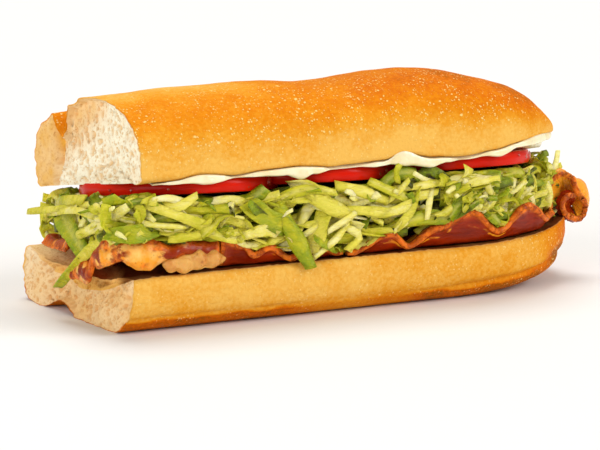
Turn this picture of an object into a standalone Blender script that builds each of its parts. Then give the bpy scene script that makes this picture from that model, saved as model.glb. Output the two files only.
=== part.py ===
"""Submarine sandwich: two loose halves of a torn soft roll round bacon, shredded lettuce,
tomato slices and mayonnaise. Lengths are in millimetres and become metres in new_object.
X runs along the roll with the torn end at -X, the front is -Y, and Z = 0 is the table."""

import math
import random

import bmesh
import bpy
import numpy as np
from mathutils import Matrix, Vector

MM = 0.001
GAP = 0.3

# Bottom half of the roll.
BASE_THICKNESS = 19.4
BASE_HALF_WIDTH = 40.0
BASE_FLAT_HALF = 27.0
BASE_BELLY_Z = 13.0
BASE_FRONT_LEFT_X = -92.0
BASE_RIGHT_X = 94.5
BASE_END_SLANT = 0.105
BASE_LIP_REACH = 3.1
BASE_NOSE_LENGTH = 58.0
RIGHT_LIFT = 4.5
RIGHT_LIFT_FROM = 32.0
BITE_CENTRE_Y = 9.0
BITE_HALF_WIDTH = 13.0
BITE_HEIGHT = 4.4
BITE_DEPTH = 16.0

# Top half of the roll, in its own frame: z = 0 is its cut face.
TOP_POSITION = (0.0, 0.0, 47.4)
TOP_TILT_DEG = -8.3
TOP_RISE_DEG = -1.3
TOP_HALF_WIDTH = 38.4
TOP_RIM_HALF = 37.4
TOP_BELLY_Z = 7.0
TOP_FRONT_LEFT_X = -88.5
TOP_RIGHT_X = 89.8
TOP_END_SLANT = 0.11
TOP_NOSE_LENGTH = 52.0
TOP_HOLLOW = 2.8
TOP_END_LIFT = 3.0
CROWN_HEIGHTS = ((-92, 29.6), (-60, 30.8), (-32, 30.6), (-6, 29.2), (24, 31.2), (90, 26.0))
NOTCH_Y = 18.0
NOTCH_HALF_WIDTH = 6.0
NOTCH_DEPTH = 8.0

# Mayonnaise under the top half: a layer with drips over the front edge (centre, half width, depth).
MAYO_THICKNESS = 0.7
MAYO_GAP = 0.6
MAYO_LIP = 1.5
MAYO_DRIPS = (
    (-60, 14, 2.0), (-27, 17, 3.6), (12, 10, 3.6), (23, 9, 4.6), (46, 16, 2.0), (80, 16, 3.2))
MAYO_STEPS = 38

# Tomato slices, laid like shingles: each rests its left side on the one before it.
SLICE_RADIUS = 34.5
SLICE_THICKNESS = 4.3
SLICE_LEAN_DEG = 4.3
SLICE_CENTRES_X = (-59.0, -12.0, 42.5)
SLICE_CENTRE_Y = -0.8
SLICE_TOP_GAP = 1.7
SLICE_STEP = 1.6
SLICE_SEGMENTS = 36

# Lettuce heap.
HEAP_LEFT_X = -100.1
HEAP_RIGHT_X = 86.0
HEAP_HALF_WIDTH = 37.5
HEAP_CLEARANCE = 1.0
HEAP_STEPS = 38

# Bacon.
STRIP_THICKNESS = 1.9
CURL_PATH = (
    (80.5, 25), (82, 30.5), (86, 35), (92, 36.2), (97.8, 34.5), (100.7, 29.5), (100, 24.5), (97.5, 21.5))
CURL_FRONT_Y = -18.0
CURL_BACK_Y = -3.0
LONG_STRIP_STEPS = 40
FAT_END_SIZE = (12.0, 2.6, 4.0)
FAT_END_POSITION = (-70.0, -37.9, 24.4)

# Where the rings of each half of the roll stand: steps from the torn end, then angles round the nose.
BASE_STEPS = (0, 6, 12, 20, 31, 45, 62, 82, 104, 124)
BASE_NOSE_ANGLES = (12, 26, 38, 50, 61, 71, 79, 86)
TOP_STEPS = (0, 5, 12, 22, 29, 34, 39, 44, 60, 76, 92, 108, 122, 134)
TOP_NOSE_ANGLES = (14, 27, 39, 50, 61, 71, 79, 86)
UNDER_SHARES = (-0.96, -0.87, -0.6, -0.2, 0.2, 0.6, 0.87, 0.96)


def smooth_step(low, high, value):
    """0 below low, 1 above high, with an eased change between them."""
    t = min(1.0, max(0.0, (value - low) / (high - low)))
    return t * t * (3.0 - 2.0 * t)


def eased(points, x):
    """The value at x of a curve through (x, value) points, flat at each of them."""
    if x <= points[0][0]:
        return points[0][1]
    for (x0, v0), (x1, v1) in zip(points, points[1:]):
        if x <= x1:
            return v0 + (v1 - v0) * smooth_step(x0, x1, x)
    return points[-1][1]


def bump(centre, half_width, value):
    """A rounded hump of height 1 about centre that reaches 0 at half_width from it."""
    t = abs(value - centre) / half_width
    return 0.0 if t >= 1.0 else 0.5 + 0.5 * math.cos(math.pi * t)


def nose(x, right_x, length, power=2.3):
    """How much of its full width a half of the roll has at x, falling to 0 at its round end."""
    t = max(0.0, (x - (right_x - length)) / length)
    return max(0.0, 1.0 - t**power) ** (1.0 / 1.9)


def ring_stations(left_x, steps, right_x, nose_length, angles):
    """Ring positions along a half of the roll, closer together where its nose curves in."""
    stations = [left_x + step for step in steps]
    for angle in angles:
        stations.append(right_x - nose_length * (1.0 - math.sin(math.radians(angle))))
    return stations


def new_material(name, colour, roughness):
    material = bpy.data.materials.new(name)
    material.use_nodes = True
    shader = material.node_tree.nodes["Principled BSDF"]
    shader.inputs["Base Color"].default_value = (*colour, 1.0)
    shader.inputs["Roughness"].default_value = roughness
    material.diffuse_color = (*colour, 1.0)
    return material


def new_object(name, bm, material):
    bmesh.ops.recalc_face_normals(bm, faces=bm.faces)
    bmesh.ops.scale(bm, vec=Vector((MM, MM, MM)), verts=bm.verts)
    mesh = bpy.data.meshes.new(name)
    bm.to_mesh(mesh)
    bm.free()
    mesh.materials.append(material)
    obj = bpy.data.objects.new(name, mesh)
    bpy.context.scene.collection.objects.link(obj)
    return obj


def place(obj, position, rotation_deg):
    obj.location = [value * MM for value in position]
    obj.rotation_euler = [math.radians(value) for value in rotation_deg]


def world_matrix(position, rotation_deg):
    turn = [Matrix.Rotation(math.radians(angle), 4, axis) for angle, axis in zip(rotation_deg, "XYZ")]
    return Matrix.Translation(position) @ turn[2] @ turn[1] @ turn[0]


def add_rings(bm, rings):
    """A skin through closed rings of points, open at both ends. Returns the rings' vertices."""
    rows = [[bm.verts.new(point) for point in ring] for ring in rings]
    for row, following in zip(rows, rows[1:]):
        for i in range(len(row)):
            j = (i + 1) % len(row)
            bm.faces.new((row[i], row[j], following[j], following[i]))
    return rows


def close_with_fan(bm, row, point):
    centre = bm.verts.new(point)
    for i in range(len(row)):
        bm.faces.new((row[i], row[(i + 1) % len(row)], centre))


def close_flat(bm, rows):
    """Closes both open ends of a skin with flat faces."""
    ends = [bm.faces.new(rows[0]), bm.faces.new(rows[-1])]
    bmesh.ops.triangulate(bm, faces=ends)


def torn_face(bm, row, face_x, shrink=(0.92, 0.76, 0.52, 0.26)):
    """Closes a ring with a rough face: face_x(y, z) is where the face lies along the roll."""
    outer = [vert.co.copy() for vert in row]
    mid_y = 0.5 * (min(point.y for point in outer) + max(point.y for point in outer))
    mid_z = 0.5 * (min(point.z for point in outer) + max(point.z for point in outer))
    last = row
    for share in shrink:
        ring = []
        for point in outer:
            y = mid_y + (point.y - mid_y) * share
            z = mid_z + (point.z - mid_z) * share
            ring.append(bm.verts.new((face_x(y, z), y, z)))
        for i in range(len(row)):
            j = (i + 1) % len(row)
            bm.faces.new((last[i], last[j], ring[j], ring[i]))
        last = ring
    close_with_fan(bm, last, (face_x(mid_y, mid_z), mid_y, mid_z))


def base_lift(x):
    """How far the right end of the bottom half curves up."""
    t = max(0.0, (x - RIGHT_LIFT_FROM) / (BASE_RIGHT_X - RIGHT_LIFT_FROM))
    return RIGHT_LIFT * t * t


def base_top(x):
    return BASE_THICKNESS + base_lift(x)


def base_ring(x):
    """Outline of the bottom half: across the cut face, down the back, along the base, up the front."""
    size = nose(x, BASE_RIGHT_X, BASE_NOSE_LENGTH)
    half = BASE_HALF_WIDTH * size
    flat = BASE_FLAT_HALF * size
    top = base_top(x)
    under = base_lift(x) * 1.3 + 11.0 * (1.0 - nose(x, BASE_RIGHT_X, 34.0, 2.0))
    belly = under + (top - under) * BASE_BELLY_Z / BASE_THICKNESS
    ring = [(half * share, top) for share in (-0.97, -0.6, -0.2, 0.2, 0.6, 0.97)]
    side = [(half, top - 1.2), (half, belly)]
    for angle in (70, 50, 30, 12):
        out = math.sin(math.radians(angle))
        drop = 1.0 - math.cos(math.radians(angle))
        side.append((flat + (half - flat) * out, under + (belly - under) * drop))
    ring += side
    ring += [(flat * share, under) for share in (0.95, 0.75, 0.5, 0.33, 0.12, -0.15, -0.55, -0.95)]
    ring += [(-y, z) for y, z in reversed(side)]
    arch = BITE_HEIGHT * (1.0 - smooth_step(0.0, BITE_DEPTH, x - BASE_FRONT_LEFT_X + 4.0))
    points = []
    for y, z in ring:
        if z < 3.0:
            z += arch * bump(BITE_CENTRE_Y, BITE_HALF_WIDTH, y)
        reach = 1.0 - smooth_step(0.0, 30.0, x - BASE_FRONT_LEFT_X)
        points.append((x + reach * (base_end_x(y, z) - BASE_FRONT_LEFT_X), y, z))
    return points


def build_bread_bottom(material):
    stations = ring_stations(
        BASE_FRONT_LEFT_X, BASE_STEPS, BASE_RIGHT_X, BASE_NOSE_LENGTH, BASE_NOSE_ANGLES)
    bm = bmesh.new()
    rows = add_rings(bm, [base_ring(x) for x in stations])
    tip = base_ring(BASE_RIGHT_X - 0.05)
    tip_z = sum(point[2] for point in tip) / len(tip)
    close_with_fan(bm, rows[-1], (BASE_RIGHT_X, 0.0, tip_z))
    torn_face(bm, rows[0], base_face_x)
    return new_object("bread_bottom", bm, material)


def base_end_x(y, z):
    """Where the torn end of the bottom half lies: slanted, with its lower lip reaching further."""
    slant = BASE_END_SLANT * (y + BASE_HALF_WIDTH)
    return BASE_FRONT_LEFT_X - slant - BASE_LIP_REACH * (1.0 - z / BASE_THICKNESS)


def base_face_x(y, z):
    return base_end_x(y, z) + 3.0 * bump(8.0, 26.0, y) - 1.2 * bump(-24.0, 14.0, y)


def crown(x):
    return eased(CROWN_HEIGHTS, x)


def end_lift(x):
    """How far the right end of the top half's cut face curves up."""
    return TOP_END_LIFT * smooth_step(45, TOP_RIGHT_X, x)


def hollow_share(x):
    """How much of the cut face's hollow there is at x: all of it in the middle, none at the ends."""
    return smooth_step(-62, -46, x) * (1.0 - smooth_step(66, 84, x))


def cut_face_point(x, share):
    """A point (y, z) on the top half's cut face, share of the way from the middle to the rim."""
    stations = ring_stations(TOP_FRONT_LEFT_X, TOP_STEPS, TOP_RIGHT_X, TOP_NOSE_LENGTH, TOP_NOSE_ANGLES)
    half = np.interp(x, stations, [TOP_RIM_HALF * nose(s, TOP_RIGHT_X, TOP_NOSE_LENGTH) for s in stations])
    hollow = np.interp(x, stations, [hollow_share(s) for s in stations])
    lift = np.interp(x, stations, [end_lift(s) for s in stations])
    inside = 1.0 - smooth_step(0.86, 0.97, abs(share))
    return float(half) * share, float(TOP_HOLLOW * hollow * inside + lift)


def top_ring(x):
    """Outline of the top half in its own frame: along the cut face to the back, over the crown."""
    size = nose(x, TOP_RIGHT_X, TOP_NOSE_LENGTH)
    tall = nose(x, TOP_RIGHT_X, TOP_NOSE_LENGTH + 14.0, 2.1)
    rim = TOP_RIM_HALF * size
    half = TOP_HALF_WIDTH * size
    ring = [cut_face_point(x, share) for share in UNDER_SHARES]
    lift = end_lift(x)
    height = crown(x) * tall
    belly = min(TOP_BELLY_Z, 0.3 * height)
    side = [(rim, 0.8), (rim + (half - rim) * 0.8, belly * 0.55)]
    arch = []
    for step in range(15):
        angle = math.pi * step / 14
        wide = math.copysign(abs(math.cos(angle)) ** 0.86, math.cos(angle))
        arch.append((half * wide, belly + (height - belly) * math.sin(angle) ** 0.86))
    over = side + arch + [(-y, z) for y, z in reversed(side)]
    ring += [(y, z + lift) for y, z in over]
    reach = 1.0 - smooth_step(0.0, 30.0, x - TOP_FRONT_LEFT_X)
    return [(x + reach * (top_end_x(y, z) - TOP_FRONT_LEFT_X), y, z) for y, z in ring]


def top_end_x(y, z):
    """The torn end of the top half: slanted, with a notch missing beside the crown."""
    notch = smooth_step(-6.0, NOTCH_Y, y) * (1.0 - smooth_step(NOTCH_Y, NOTCH_Y + NOTCH_HALF_WIDTH, y))
    slant = TOP_END_SLANT * (y + TOP_HALF_WIDTH)
    return TOP_FRONT_LEFT_X - slant + NOTCH_DEPTH * notch * smooth_step(10.0, 26.0, z)


def top_face_x(y, z):
    return top_end_x(y, z) + 3.0 * bump(4.0, 24.0, y) * smooth_step(3.0, 14.0, z)


def build_bread_top(material):
    stations = ring_stations(TOP_FRONT_LEFT_X, TOP_STEPS, TOP_RIGHT_X, TOP_NOSE_LENGTH, TOP_NOSE_ANGLES)
    bm = bmesh.new()
    rows = add_rings(bm, [top_ring(x) for x in stations])
    close_with_fan(bm, rows[-1], (TOP_RIGHT_X, 0.0, 4.0))
    torn_face(bm, rows[0], top_face_x)
    obj = new_object("bread_top", bm, material)
    place(obj, TOP_POSITION, (TOP_TILT_DEG, TOP_RISE_DEG, 0.0))
    return obj


def drip_depth(x):
    """How far the mayonnaise hangs below the top half's front edge."""
    return MAYO_LIP + sum(depth * bump(centre, half, x) for centre, half, depth in MAYO_DRIPS)


def mayo_ring(x):
    depth = drip_depth(x)
    spread = [cut_face_point(x, share) for share in (-0.93,) + UNDER_SHARES[1:-1]]
    upper = [(x, y, z - MAYO_GAP) for y, z in spread]
    lower = [(x, y, z - MAYO_GAP - MAYO_THICKNESS) for y, z in spread]
    edge_y, edge_z = cut_face_point(x, -1.0)
    front = [
        (x, edge_y + 0.9, edge_z - GAP - depth * 0.7),
        (x, edge_y - 0.1, edge_z - GAP - depth),
        (x, edge_y - 1.0, edge_z - GAP - depth * 0.75),
        (x, edge_y - 1.2, edge_z - GAP - depth * 0.3),
        (x, edge_y - 0.3, edge_z - GAP),
    ]
    return upper + lower[::-1] + front


def build_mayo(material):
    left = TOP_FRONT_LEFT_X + 4.0
    right = TOP_RIGHT_X - 9.0
    bm = bmesh.new()
    rows = add_rings(bm, [mayo_ring(x) for x in np.linspace(left, right, MAYO_STEPS + 1)])
    close_flat(bm, rows)
    obj = new_object("mayo", bm, material)
    place(obj, TOP_POSITION, (TOP_TILT_DEG, TOP_RISE_DEG, 0.0))
    return obj


def slice_centre(index):
    """Centre of a slice in the top half's frame: each lies a little higher than the one before."""
    fall = SLICE_RADIUS * math.sin(math.radians(SLICE_LEAN_DEG))
    z = -SLICE_TOP_GAP - 0.5 * SLICE_THICKNESS - fall + SLICE_STEP * index
    return Vector((SLICE_CENTRES_X[index], SLICE_CENTRE_Y, z))


def slice_matrix(index):
    top = world_matrix(TOP_POSITION, (TOP_TILT_DEG, TOP_RISE_DEG, 0.0))
    lean = Matrix.Rotation(math.radians(SLICE_LEAN_DEG), 4, "Y")
    return top @ Matrix.Translation(slice_centre(index)) @ lean


def build_slice(name, index, material):
    """A tomato slice: a disc with a bowed skin edge that isn't quite round."""
    half = 0.5 * SLICE_THICKNESS
    profile = ((-0.5, -half), (0.0, -half * 0.55), (0.25, 0.0), (0.0, half * 0.55), (-0.5, half))
    bm = bmesh.new()
    rings = []
    for out, z in profile:
        ring = []
        for i in range(SLICE_SEGMENTS):
            angle = 2.0 * math.pi * i / SLICE_SEGMENTS
            uneven = 0.35 * math.sin(3.0 * angle + index) + 0.2 * math.sin(5.0 * angle)
            radius = SLICE_RADIUS - 0.3 + out + uneven
            ring.append((radius * math.cos(angle), radius * math.sin(angle), z))
        rings.append(ring)
    rows = add_rings(bm, rings)
    close_with_fan(bm, rows[0], (0.0, 0.0, -half))
    close_with_fan(bm, rows[-1], (0.0, 0.0, half))
    obj = new_object(name, bm, material)
    matrix = slice_matrix(index)
    place(obj, matrix.translation, [math.degrees(angle) for angle in matrix.to_euler()])
    return obj


def strip_ring(path, wave, section, x):
    """Cross-section of a bacon strip at x. path gives its middle line, wave its front rim's height,
    section the (across, height share, lift) points from front to back."""
    middle = eased(path, x)
    upper = []
    lower = []
    for across, share, lift in section:
        y = middle + across
        floor = base_top(x) + GAP
        z = max(floor, floor + (eased(wave, x) - floor) * share + lift)
        lower.append((x, y, z))
        upper.append((x, y, z + STRIP_THICKNESS))
    return lower + upper[::-1]


def build_strip(name, steps, path, wave, section, material):
    """A strip as long as its wave."""
    bm = bmesh.new()
    stations = np.linspace(wave[0][0], wave[-1][0], steps + 1)
    rows = add_rings(bm, [strip_ring(path, wave, section, x) for x in stations])
    close_flat(bm, rows)
    return new_object(name, bm, material)


def curl_ring(index, count):
    """Cross-section of the curled end at one point of CURL_PATH, square to the path."""
    x, z = CURL_PATH[index]
    before = CURL_PATH[max(0, index - 1)]
    after = CURL_PATH[min(len(CURL_PATH) - 1, index + 1)]
    run = Vector((after[0] - before[0], after[1] - before[1])).normalized()
    inner = []
    outer = []
    for i in range(count):
        y = CURL_FRONT_Y + (CURL_BACK_Y - CURL_FRONT_Y) * i / (count - 1)
        sag = 1.5 * (i / (count - 1)) ** 2
        inner.append((x, y, z - sag))
        outer.append((x - run.y * STRIP_THICKNESS, y, z - sag + run.x * STRIP_THICKNESS))
    return inner + outer[::-1]


def build_long_strip(material):
    """The long strip: it follows the roll's front rim in waves, and its end curls up past the roll."""
    path = ((-12, -24), (50, -24), (66, -21), (80, -12), (92, -6))
    wave = (
        (-12, 19.8), (4.5, 26.0), (12, 20.5), (23, 26.0), (37, 30.0), (48, 21.5), (62, 29.5), (73, 22.8),
        (80, 24.0))
    section = ((-13, 1.0, 0.0), (-8, 0.8, 0.0), (-1, 0.5, 0.0), (6, 0.3, 0.0), (12, 0.25, 0.0))
    stations = np.linspace(wave[0][0], CURL_PATH[0][0] - 2.5, LONG_STRIP_STEPS + 1)
    rings = [strip_ring(path, wave, section, x) for x in stations]
    rings += [curl_ring(index, len(section)) for index in range(len(CURL_PATH))]
    bm = bmesh.new()
    rows = add_rings(bm, rings)
    close_flat(bm, rows)
    return new_object("bacon_front_right", bm, material)


def build_fat_end(material):
    """The pale knobbly end of fat on the front rim."""
    bm = bmesh.new()
    bmesh.ops.create_icosphere(bm, subdivisions=3, radius=1.0)
    length, depth, height = FAT_END_SIZE
    for vert in bm.verts:
        x, y, z = vert.co
        lobes = 1.0 + 0.16 * math.cos(9.0 * x) * (1.0 - abs(z)) + 0.08 * math.cos(7.0 * z + 2.0)
        vert.co = Vector((length * x, depth * y * lobes, height * z * lobes))
    obj = new_object("bacon_fat_end", bm, material)
    place(obj, FAT_END_POSITION, (0.0, 2.0, 0.0))
    return obj


def build_bacon(material, fat):
    standing = ((-13, 0.0, 0.4), (-11.5, 0.5, 0.0), (-7.5, 0.95, 0.0), (1, 0.95, 0.0), (9, 0.8, 0.0))
    flat = ((-12, 1.0, 0.0), (-5, 0.75, 0.0), (2, 0.5, 0.0), (10, 0.6, 0.0))
    build_strip(
        "bacon_front_left", 18, ((-102, -14), (-92, -22), (-62, -22)),
        ((-102, 25.0), (-93, 29.0), (-83, 26.5), (-71, 29.0), (-62, 28.0)), standing, material)
    build_strip(
        "bacon_front_middle", 22, ((-60, -25), (-14, -25)),
        ((-60, 28.0), (-48, 22.5), (-42, 25.0), (-34, 20.5), (-24, 23.5), (-14, 20.5)), flat, material)
    build_strip(
        "bacon_back_left", 20, ((-100, 16), (-34, 18)),
        ((-100, 21.5), (-97, 25.5), (-88, 21.5), (-74, 27.0), (-62, 21.5), (-48, 26.5), (-34, 22.0)),
        flat, material)
    build_strip(
        "bacon_back_right", 26, ((-30, 24), (30, 24), (66, 12)),
        ((-30, 22.0), (-16, 27.0), (-4, 21.5), (12, 27.5), (26, 22.0), (42, 28.5), (56, 23.0), (66, 25.0)),
        flat, material)
    build_long_strip(material)
    build_fat_end(fat)


def ceiling_points():
    """Points over the underside of the slices and the mayonnaise, for the heap to stay below."""
    points = []
    for index in range(3):
        matrix = slice_matrix(index)
        for radius in (6, 12, 18, 24, 30, SLICE_RADIUS):
            for i in range(24):
                angle = 2.0 * math.pi * i / 24
                point = (radius * math.cos(angle), radius * math.sin(angle), -0.5 * SLICE_THICKNESS)
                points.append(matrix @ Vector(point))
    return np.array(points)


def floor_points():
    """Corner points of the bacon in millimetres, for the heap to lie on."""
    points = []
    bpy.context.view_layer.update()
    for obj in bpy.data.objects:
        if not obj.name.startswith("bacon"):
            continue
        corners = [obj.matrix_world @ vert.co / MM for vert in obj.data.vertices]
        points += corners
        points += [0.5 * (corners[edge.vertices[0]] + corners[edge.vertices[1]]) for edge in obj.data.edges]
    return np.array(points)


def nearest_extreme(points, x, y, reach, highest, otherwise):
    near = points[((points[:, 0] - x) / reach) ** 2 + ((points[:, 1] - y) / (1.5 * reach)) ** 2 < 1.0]
    if len(near) == 0:
        return otherwise
    return near[:, 2].max() if highest else near[:, 2].min()


def build_lettuce(material):
    """The heap of shredded lettuce as one body that fills the room between bacon and tomato."""
    ceiling = ceiling_points()
    floor = floor_points()
    to_top = world_matrix(TOP_POSITION, (TOP_TILT_DEG, TOP_RISE_DEG, 0.0))
    rng = random.Random(4)
    across = (-1.0, -0.87, -0.66, -0.4, -0.13, 0.13, 0.4, 0.66, 0.87, 1.0)
    rings = []
    for i in range(HEAP_STEPS + 1):
        share = i / HEAP_STEPS
        x = HEAP_LEFT_X + (HEAP_RIGHT_X - HEAP_LEFT_X) * share
        left_share = 0.72 + 0.28 * smooth_step(HEAP_LEFT_X, HEAP_LEFT_X + 17.0, x)
        width = HEAP_HALF_WIDTH * min(left_share, nose(x, HEAP_RIGHT_X + 2.0, 50.0))
        front_width = min(width, eased(((50, 37.5), (66, 27.0), (80, 18.0), (90, 10.0)), x))
        upper = []
        lower = []
        for place_share in across:
            y = place_share * ((width if place_share > 0 else front_width) + rng.uniform(-1.6, 1.6))
            cover = to_top @ Vector((x, y, end_lift(x) - 3.6))
            high = nearest_extreme(ceiling, x, y, 6.5, False, cover.z) - HEAP_CLEARANCE
            high = min(high, cover.z) - 1.5 * abs(rng.gauss(0.0, 0.5))
            low = nearest_extreme(floor, x, y, 5.5, True, base_top(x) + GAP) + HEAP_CLEARANCE
            rounding = 1.0 - 0.2 * abs(place_share) ** 8
            end = math.sin(math.pi * min(1.0, max(0.0, min(share, 1.0 - share) * 9.0)) / 2.0)
            middle = 0.5 * (high + low)
            half = max(0.8, 0.5 * (high - low) * rounding * (0.35 + 0.65 * end))
            upper.append((x, y, middle + half))
            lower.append((x, y, middle - half))
        bulge = rng.uniform(0.5, 2.4)
        back = (x, upper[-1][1] + bulge, 0.5 * (upper[-1][2] + lower[-1][2]))
        front = (x, upper[0][1] - bulge, 0.5 * (upper[0][2] + lower[0][2]))
        rings.append(upper + [back] + lower[::-1] + [front])
    bm = bmesh.new()
    rows = add_rings(bm, rings)
    for row, side in ((rows[0], -1.0), (rows[-1], 1.0)):
        centre = sum((vert.co for vert in row), Vector()) / len(row)
        close_with_fan(bm, row, (centre.x + side * 2.5, centre.y, centre.z))
    return new_object("lettuce", bm, material)


def clear_scene():
    for obj in list(bpy.data.objects):
        bpy.data.objects.remove(obj, do_unlink=True)


def main():
    clear_scene()
    build_bread_bottom(new_material("crust_bottom", (0.80, 0.55, 0.25), 0.7))
    build_bread_top(new_material("crust_top", (0.82, 0.48, 0.16), 0.6))
    build_mayo(new_material("mayonnaise", (0.95, 0.91, 0.74), 0.2))
    tomato = new_material("tomato", (0.72, 0.05, 0.02), 0.15)
    for index, side in enumerate(("left", "middle", "right")):
        build_slice("tomato_" + side, index, tomato)
    bacon = new_material("bacon", (0.45, 0.12, 0.05), 0.35)
    build_bacon(bacon, new_material("bacon_fat", (0.85, 0.66, 0.5), 0.4))
    build_lettuce(new_material("lettuce", (0.55, 0.72, 0.25), 0.5))


main()
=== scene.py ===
import math
import random

import bmesh
import bpy
import numpy as np
from mathutils import Matrix, Vector, noise


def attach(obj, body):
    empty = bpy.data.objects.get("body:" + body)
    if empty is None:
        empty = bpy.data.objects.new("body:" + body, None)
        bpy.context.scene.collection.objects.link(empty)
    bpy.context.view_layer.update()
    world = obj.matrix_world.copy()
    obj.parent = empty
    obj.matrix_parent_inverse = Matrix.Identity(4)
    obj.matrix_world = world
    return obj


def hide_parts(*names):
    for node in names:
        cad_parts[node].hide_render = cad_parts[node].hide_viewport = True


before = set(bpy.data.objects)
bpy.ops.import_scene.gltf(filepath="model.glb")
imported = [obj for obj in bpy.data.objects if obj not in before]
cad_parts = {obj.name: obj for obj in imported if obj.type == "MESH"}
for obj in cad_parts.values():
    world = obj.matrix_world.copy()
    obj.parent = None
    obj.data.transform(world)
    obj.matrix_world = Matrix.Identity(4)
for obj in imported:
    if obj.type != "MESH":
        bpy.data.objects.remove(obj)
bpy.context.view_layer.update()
print("stage: frame loaded with", len(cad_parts), "nodes")

mm = 0.001                         # every length below is in millimetres


# ---- small tools for shapes

def smooth(low, high, value):
    t = np.clip((value - low) / (high - low), 0.0, 1.0)
    return t * t * (3.0 - 2.0 * t)


def hump(centre, halfWidth, value):
    t = np.minimum(1.0, np.abs(value - centre) / halfWidth)
    return 0.5 + 0.5 * np.cos(math.pi * t)


def through(points, x):            # a curve through (x, value) points, flat at each of them
    xs, values = np.array(points, float).T
    x = np.clip(x, xs[0], xs[-1])
    i = np.clip(np.searchsorted(xs, x, side="right") - 1, 0, len(xs) - 2)
    return values[i] + (values[i + 1] - values[i]) * smooth(xs[i], xs[i + 1], x)


def lumps(points, size, seed=0):   # soft noise from about -1 to 1, in lumps of this size
    shift = Vector((seed * 17.3, seed * 5.1, seed * 9.7))
    flat = np.asarray(points, float).reshape(-1, 3) / size
    return np.array([noise.noise(Vector(p) + shift) for p in flat]).reshape(np.shape(points)[:-1])


def spread(line, count):           # the same line cut into equal steps
    line = np.asarray(line, float)
    runs = np.concatenate([[0.0], np.cumsum(np.linalg.norm(np.diff(line, axis=0), axis=1))])
    where = np.linspace(0.0, runs[-1], count)
    return np.stack([np.interp(where, runs, line[:, i]) for i in range(line.shape[1])], axis=1)


def soften(ring, times):           # rounds the corners of a closed ring
    for _ in range(times):
        ring = 0.25 * np.roll(ring, 1, axis=0) + 0.5 * ring + 0.25 * np.roll(ring, -1, axis=0)
    return ring


def curveThrough(points, count):   # an even, rounded line through a few points
    points = np.asarray(points, float)
    padded = np.concatenate([[2 * points[0] - points[1]], points, [2 * points[-1] - points[-2]]])
    fine = []
    for a, b, c, d in zip(padded, padded[1:], padded[2:], padded[3:]):
        for t in np.linspace(0.0, 1.0, 12, endpoint=False):
            fine.append(0.5 * (2 * b + (c - a) * t + (2 * a - 5 * b + 4 * c - d) * t**2
                               + (3 * b - 3 * c + d - a) * t**3))
    fine.append(points[-1])
    return spread(fine, count)


def gridFaces(rowCount, columnCount, wrap):
    columns = np.arange(columnCount if wrap else columnCount - 1)
    following = (columns + 1) % columnCount
    starts = np.arange(rowCount - 1)[:, None] * columnCount
    quads = [starts + columns, starts + following,
             starts + columnCount + following, starts + columnCount + columns]
    return np.stack(quads, axis=-1).reshape(-1, 4).tolist()


def cappedFaces(rowCount, columnCount):   # a tube of quads with a face across each end
    ends = [list(range(columnCount)), list(range((rowCount - 1) * columnCount, rowCount * columnCount))]
    return gridFaces(rowCount, columnCount, True) + ends


def sheetBody(grid, thickness):    # a closed sheet around a grid of points, with its faces
    along = np.gradient(grid, axis=0)
    across = np.gradient(grid, axis=1)
    normal = np.cross(along, across)
    normal /= np.maximum(np.linalg.norm(normal, axis=2, keepdims=True), 1e-9)
    half = 0.5 * np.asarray(thickness)[..., None] * normal
    rows, columns = grid.shape[:2]
    points = np.concatenate([(grid + half).reshape(-1, 3), (grid - half).reshape(-1, 3)])
    upper = gridFaces(rows, columns, False)
    count = rows * columns
    faces = upper + [[i + count for i in reversed(face)] for face in upper]
    edge = ([i for i in range(columns)] + [r * columns + columns - 1 for r in range(1, rows)]
            + [(rows - 1) * columns + c for c in range(columns - 2, -1, -1)]
            + [r * columns for r in range(rows - 2, 0, -1)])
    for a, b in zip(edge, edge[1:] + edge[:1]):
        faces.append([b, a, a + count, b + count])
    return points, faces


def makePiece(name, points, faces, material, layers=None):
    mesh = bpy.data.meshes.new(name)
    mesh.from_pydata((np.asarray(points) * mm).tolist(), [], faces)
    for layer, values in (layers or {}).items():
        attribute = mesh.attributes.new(layer, "FLOAT", "POINT")
        attribute.data.foreach_set("value", np.asarray(values, np.float32).ravel())
    body = bmesh.new()
    body.from_mesh(mesh)
    bmesh.ops.recalc_face_normals(body, faces=body.faces)
    body.to_mesh(mesh)
    body.free()
    mesh.shade_smooth()
    mesh.materials.append(material)
    piece = bpy.data.objects.new(name, mesh)
    bpy.context.scene.collection.objects.link(piece)
    return piece


def pushOut(piece, amounts):       # moves each point along its own normal
    mesh = piece.data
    places = np.empty(len(mesh.vertices) * 3, np.float32)
    mesh.vertices.foreach_get("co", places)
    normals = np.empty(len(mesh.vertices) * 3, np.float32)
    mesh.vertices.foreach_get("normal", normals)
    places = places.reshape(-1, 3) + normals.reshape(-1, 3) * np.asarray(amounts)[:, None] * mm
    mesh.vertices.foreach_set("co", places.astype(np.float32).ravel())
    mesh.update()


def standsFor(piece, slotName, *nodes):
    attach(piece, "root")
    if nodes:
        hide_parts(*nodes)


# ---- small tools for materials

def addNode(tree, kind, inputs=None, **settings):
    node = tree.nodes.new("ShaderNode" + kind)
    for name, value in settings.items():
        setattr(node, name, value)
    for name, value in (inputs or {}).items():
        if isinstance(value, bpy.types.NodeSocket):
            tree.links.new(value, node.inputs[name])
        else:
            node.inputs[name].default_value = value
    return node


def mixColour(tree, factor, first, second, blend="MIX"):
    node = addNode(tree, "Mix", data_type="RGBA", blend_type=blend)
    for index, value in ((0, factor), (6, first), (7, second)):
        if isinstance(value, bpy.types.NodeSocket):
            tree.links.new(value, node.inputs[index])
        elif index == 0:
            node.inputs[0].default_value = value
        else:
            node.inputs[index].default_value = (*value, 1.0)
    return node.outputs[2]


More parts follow.
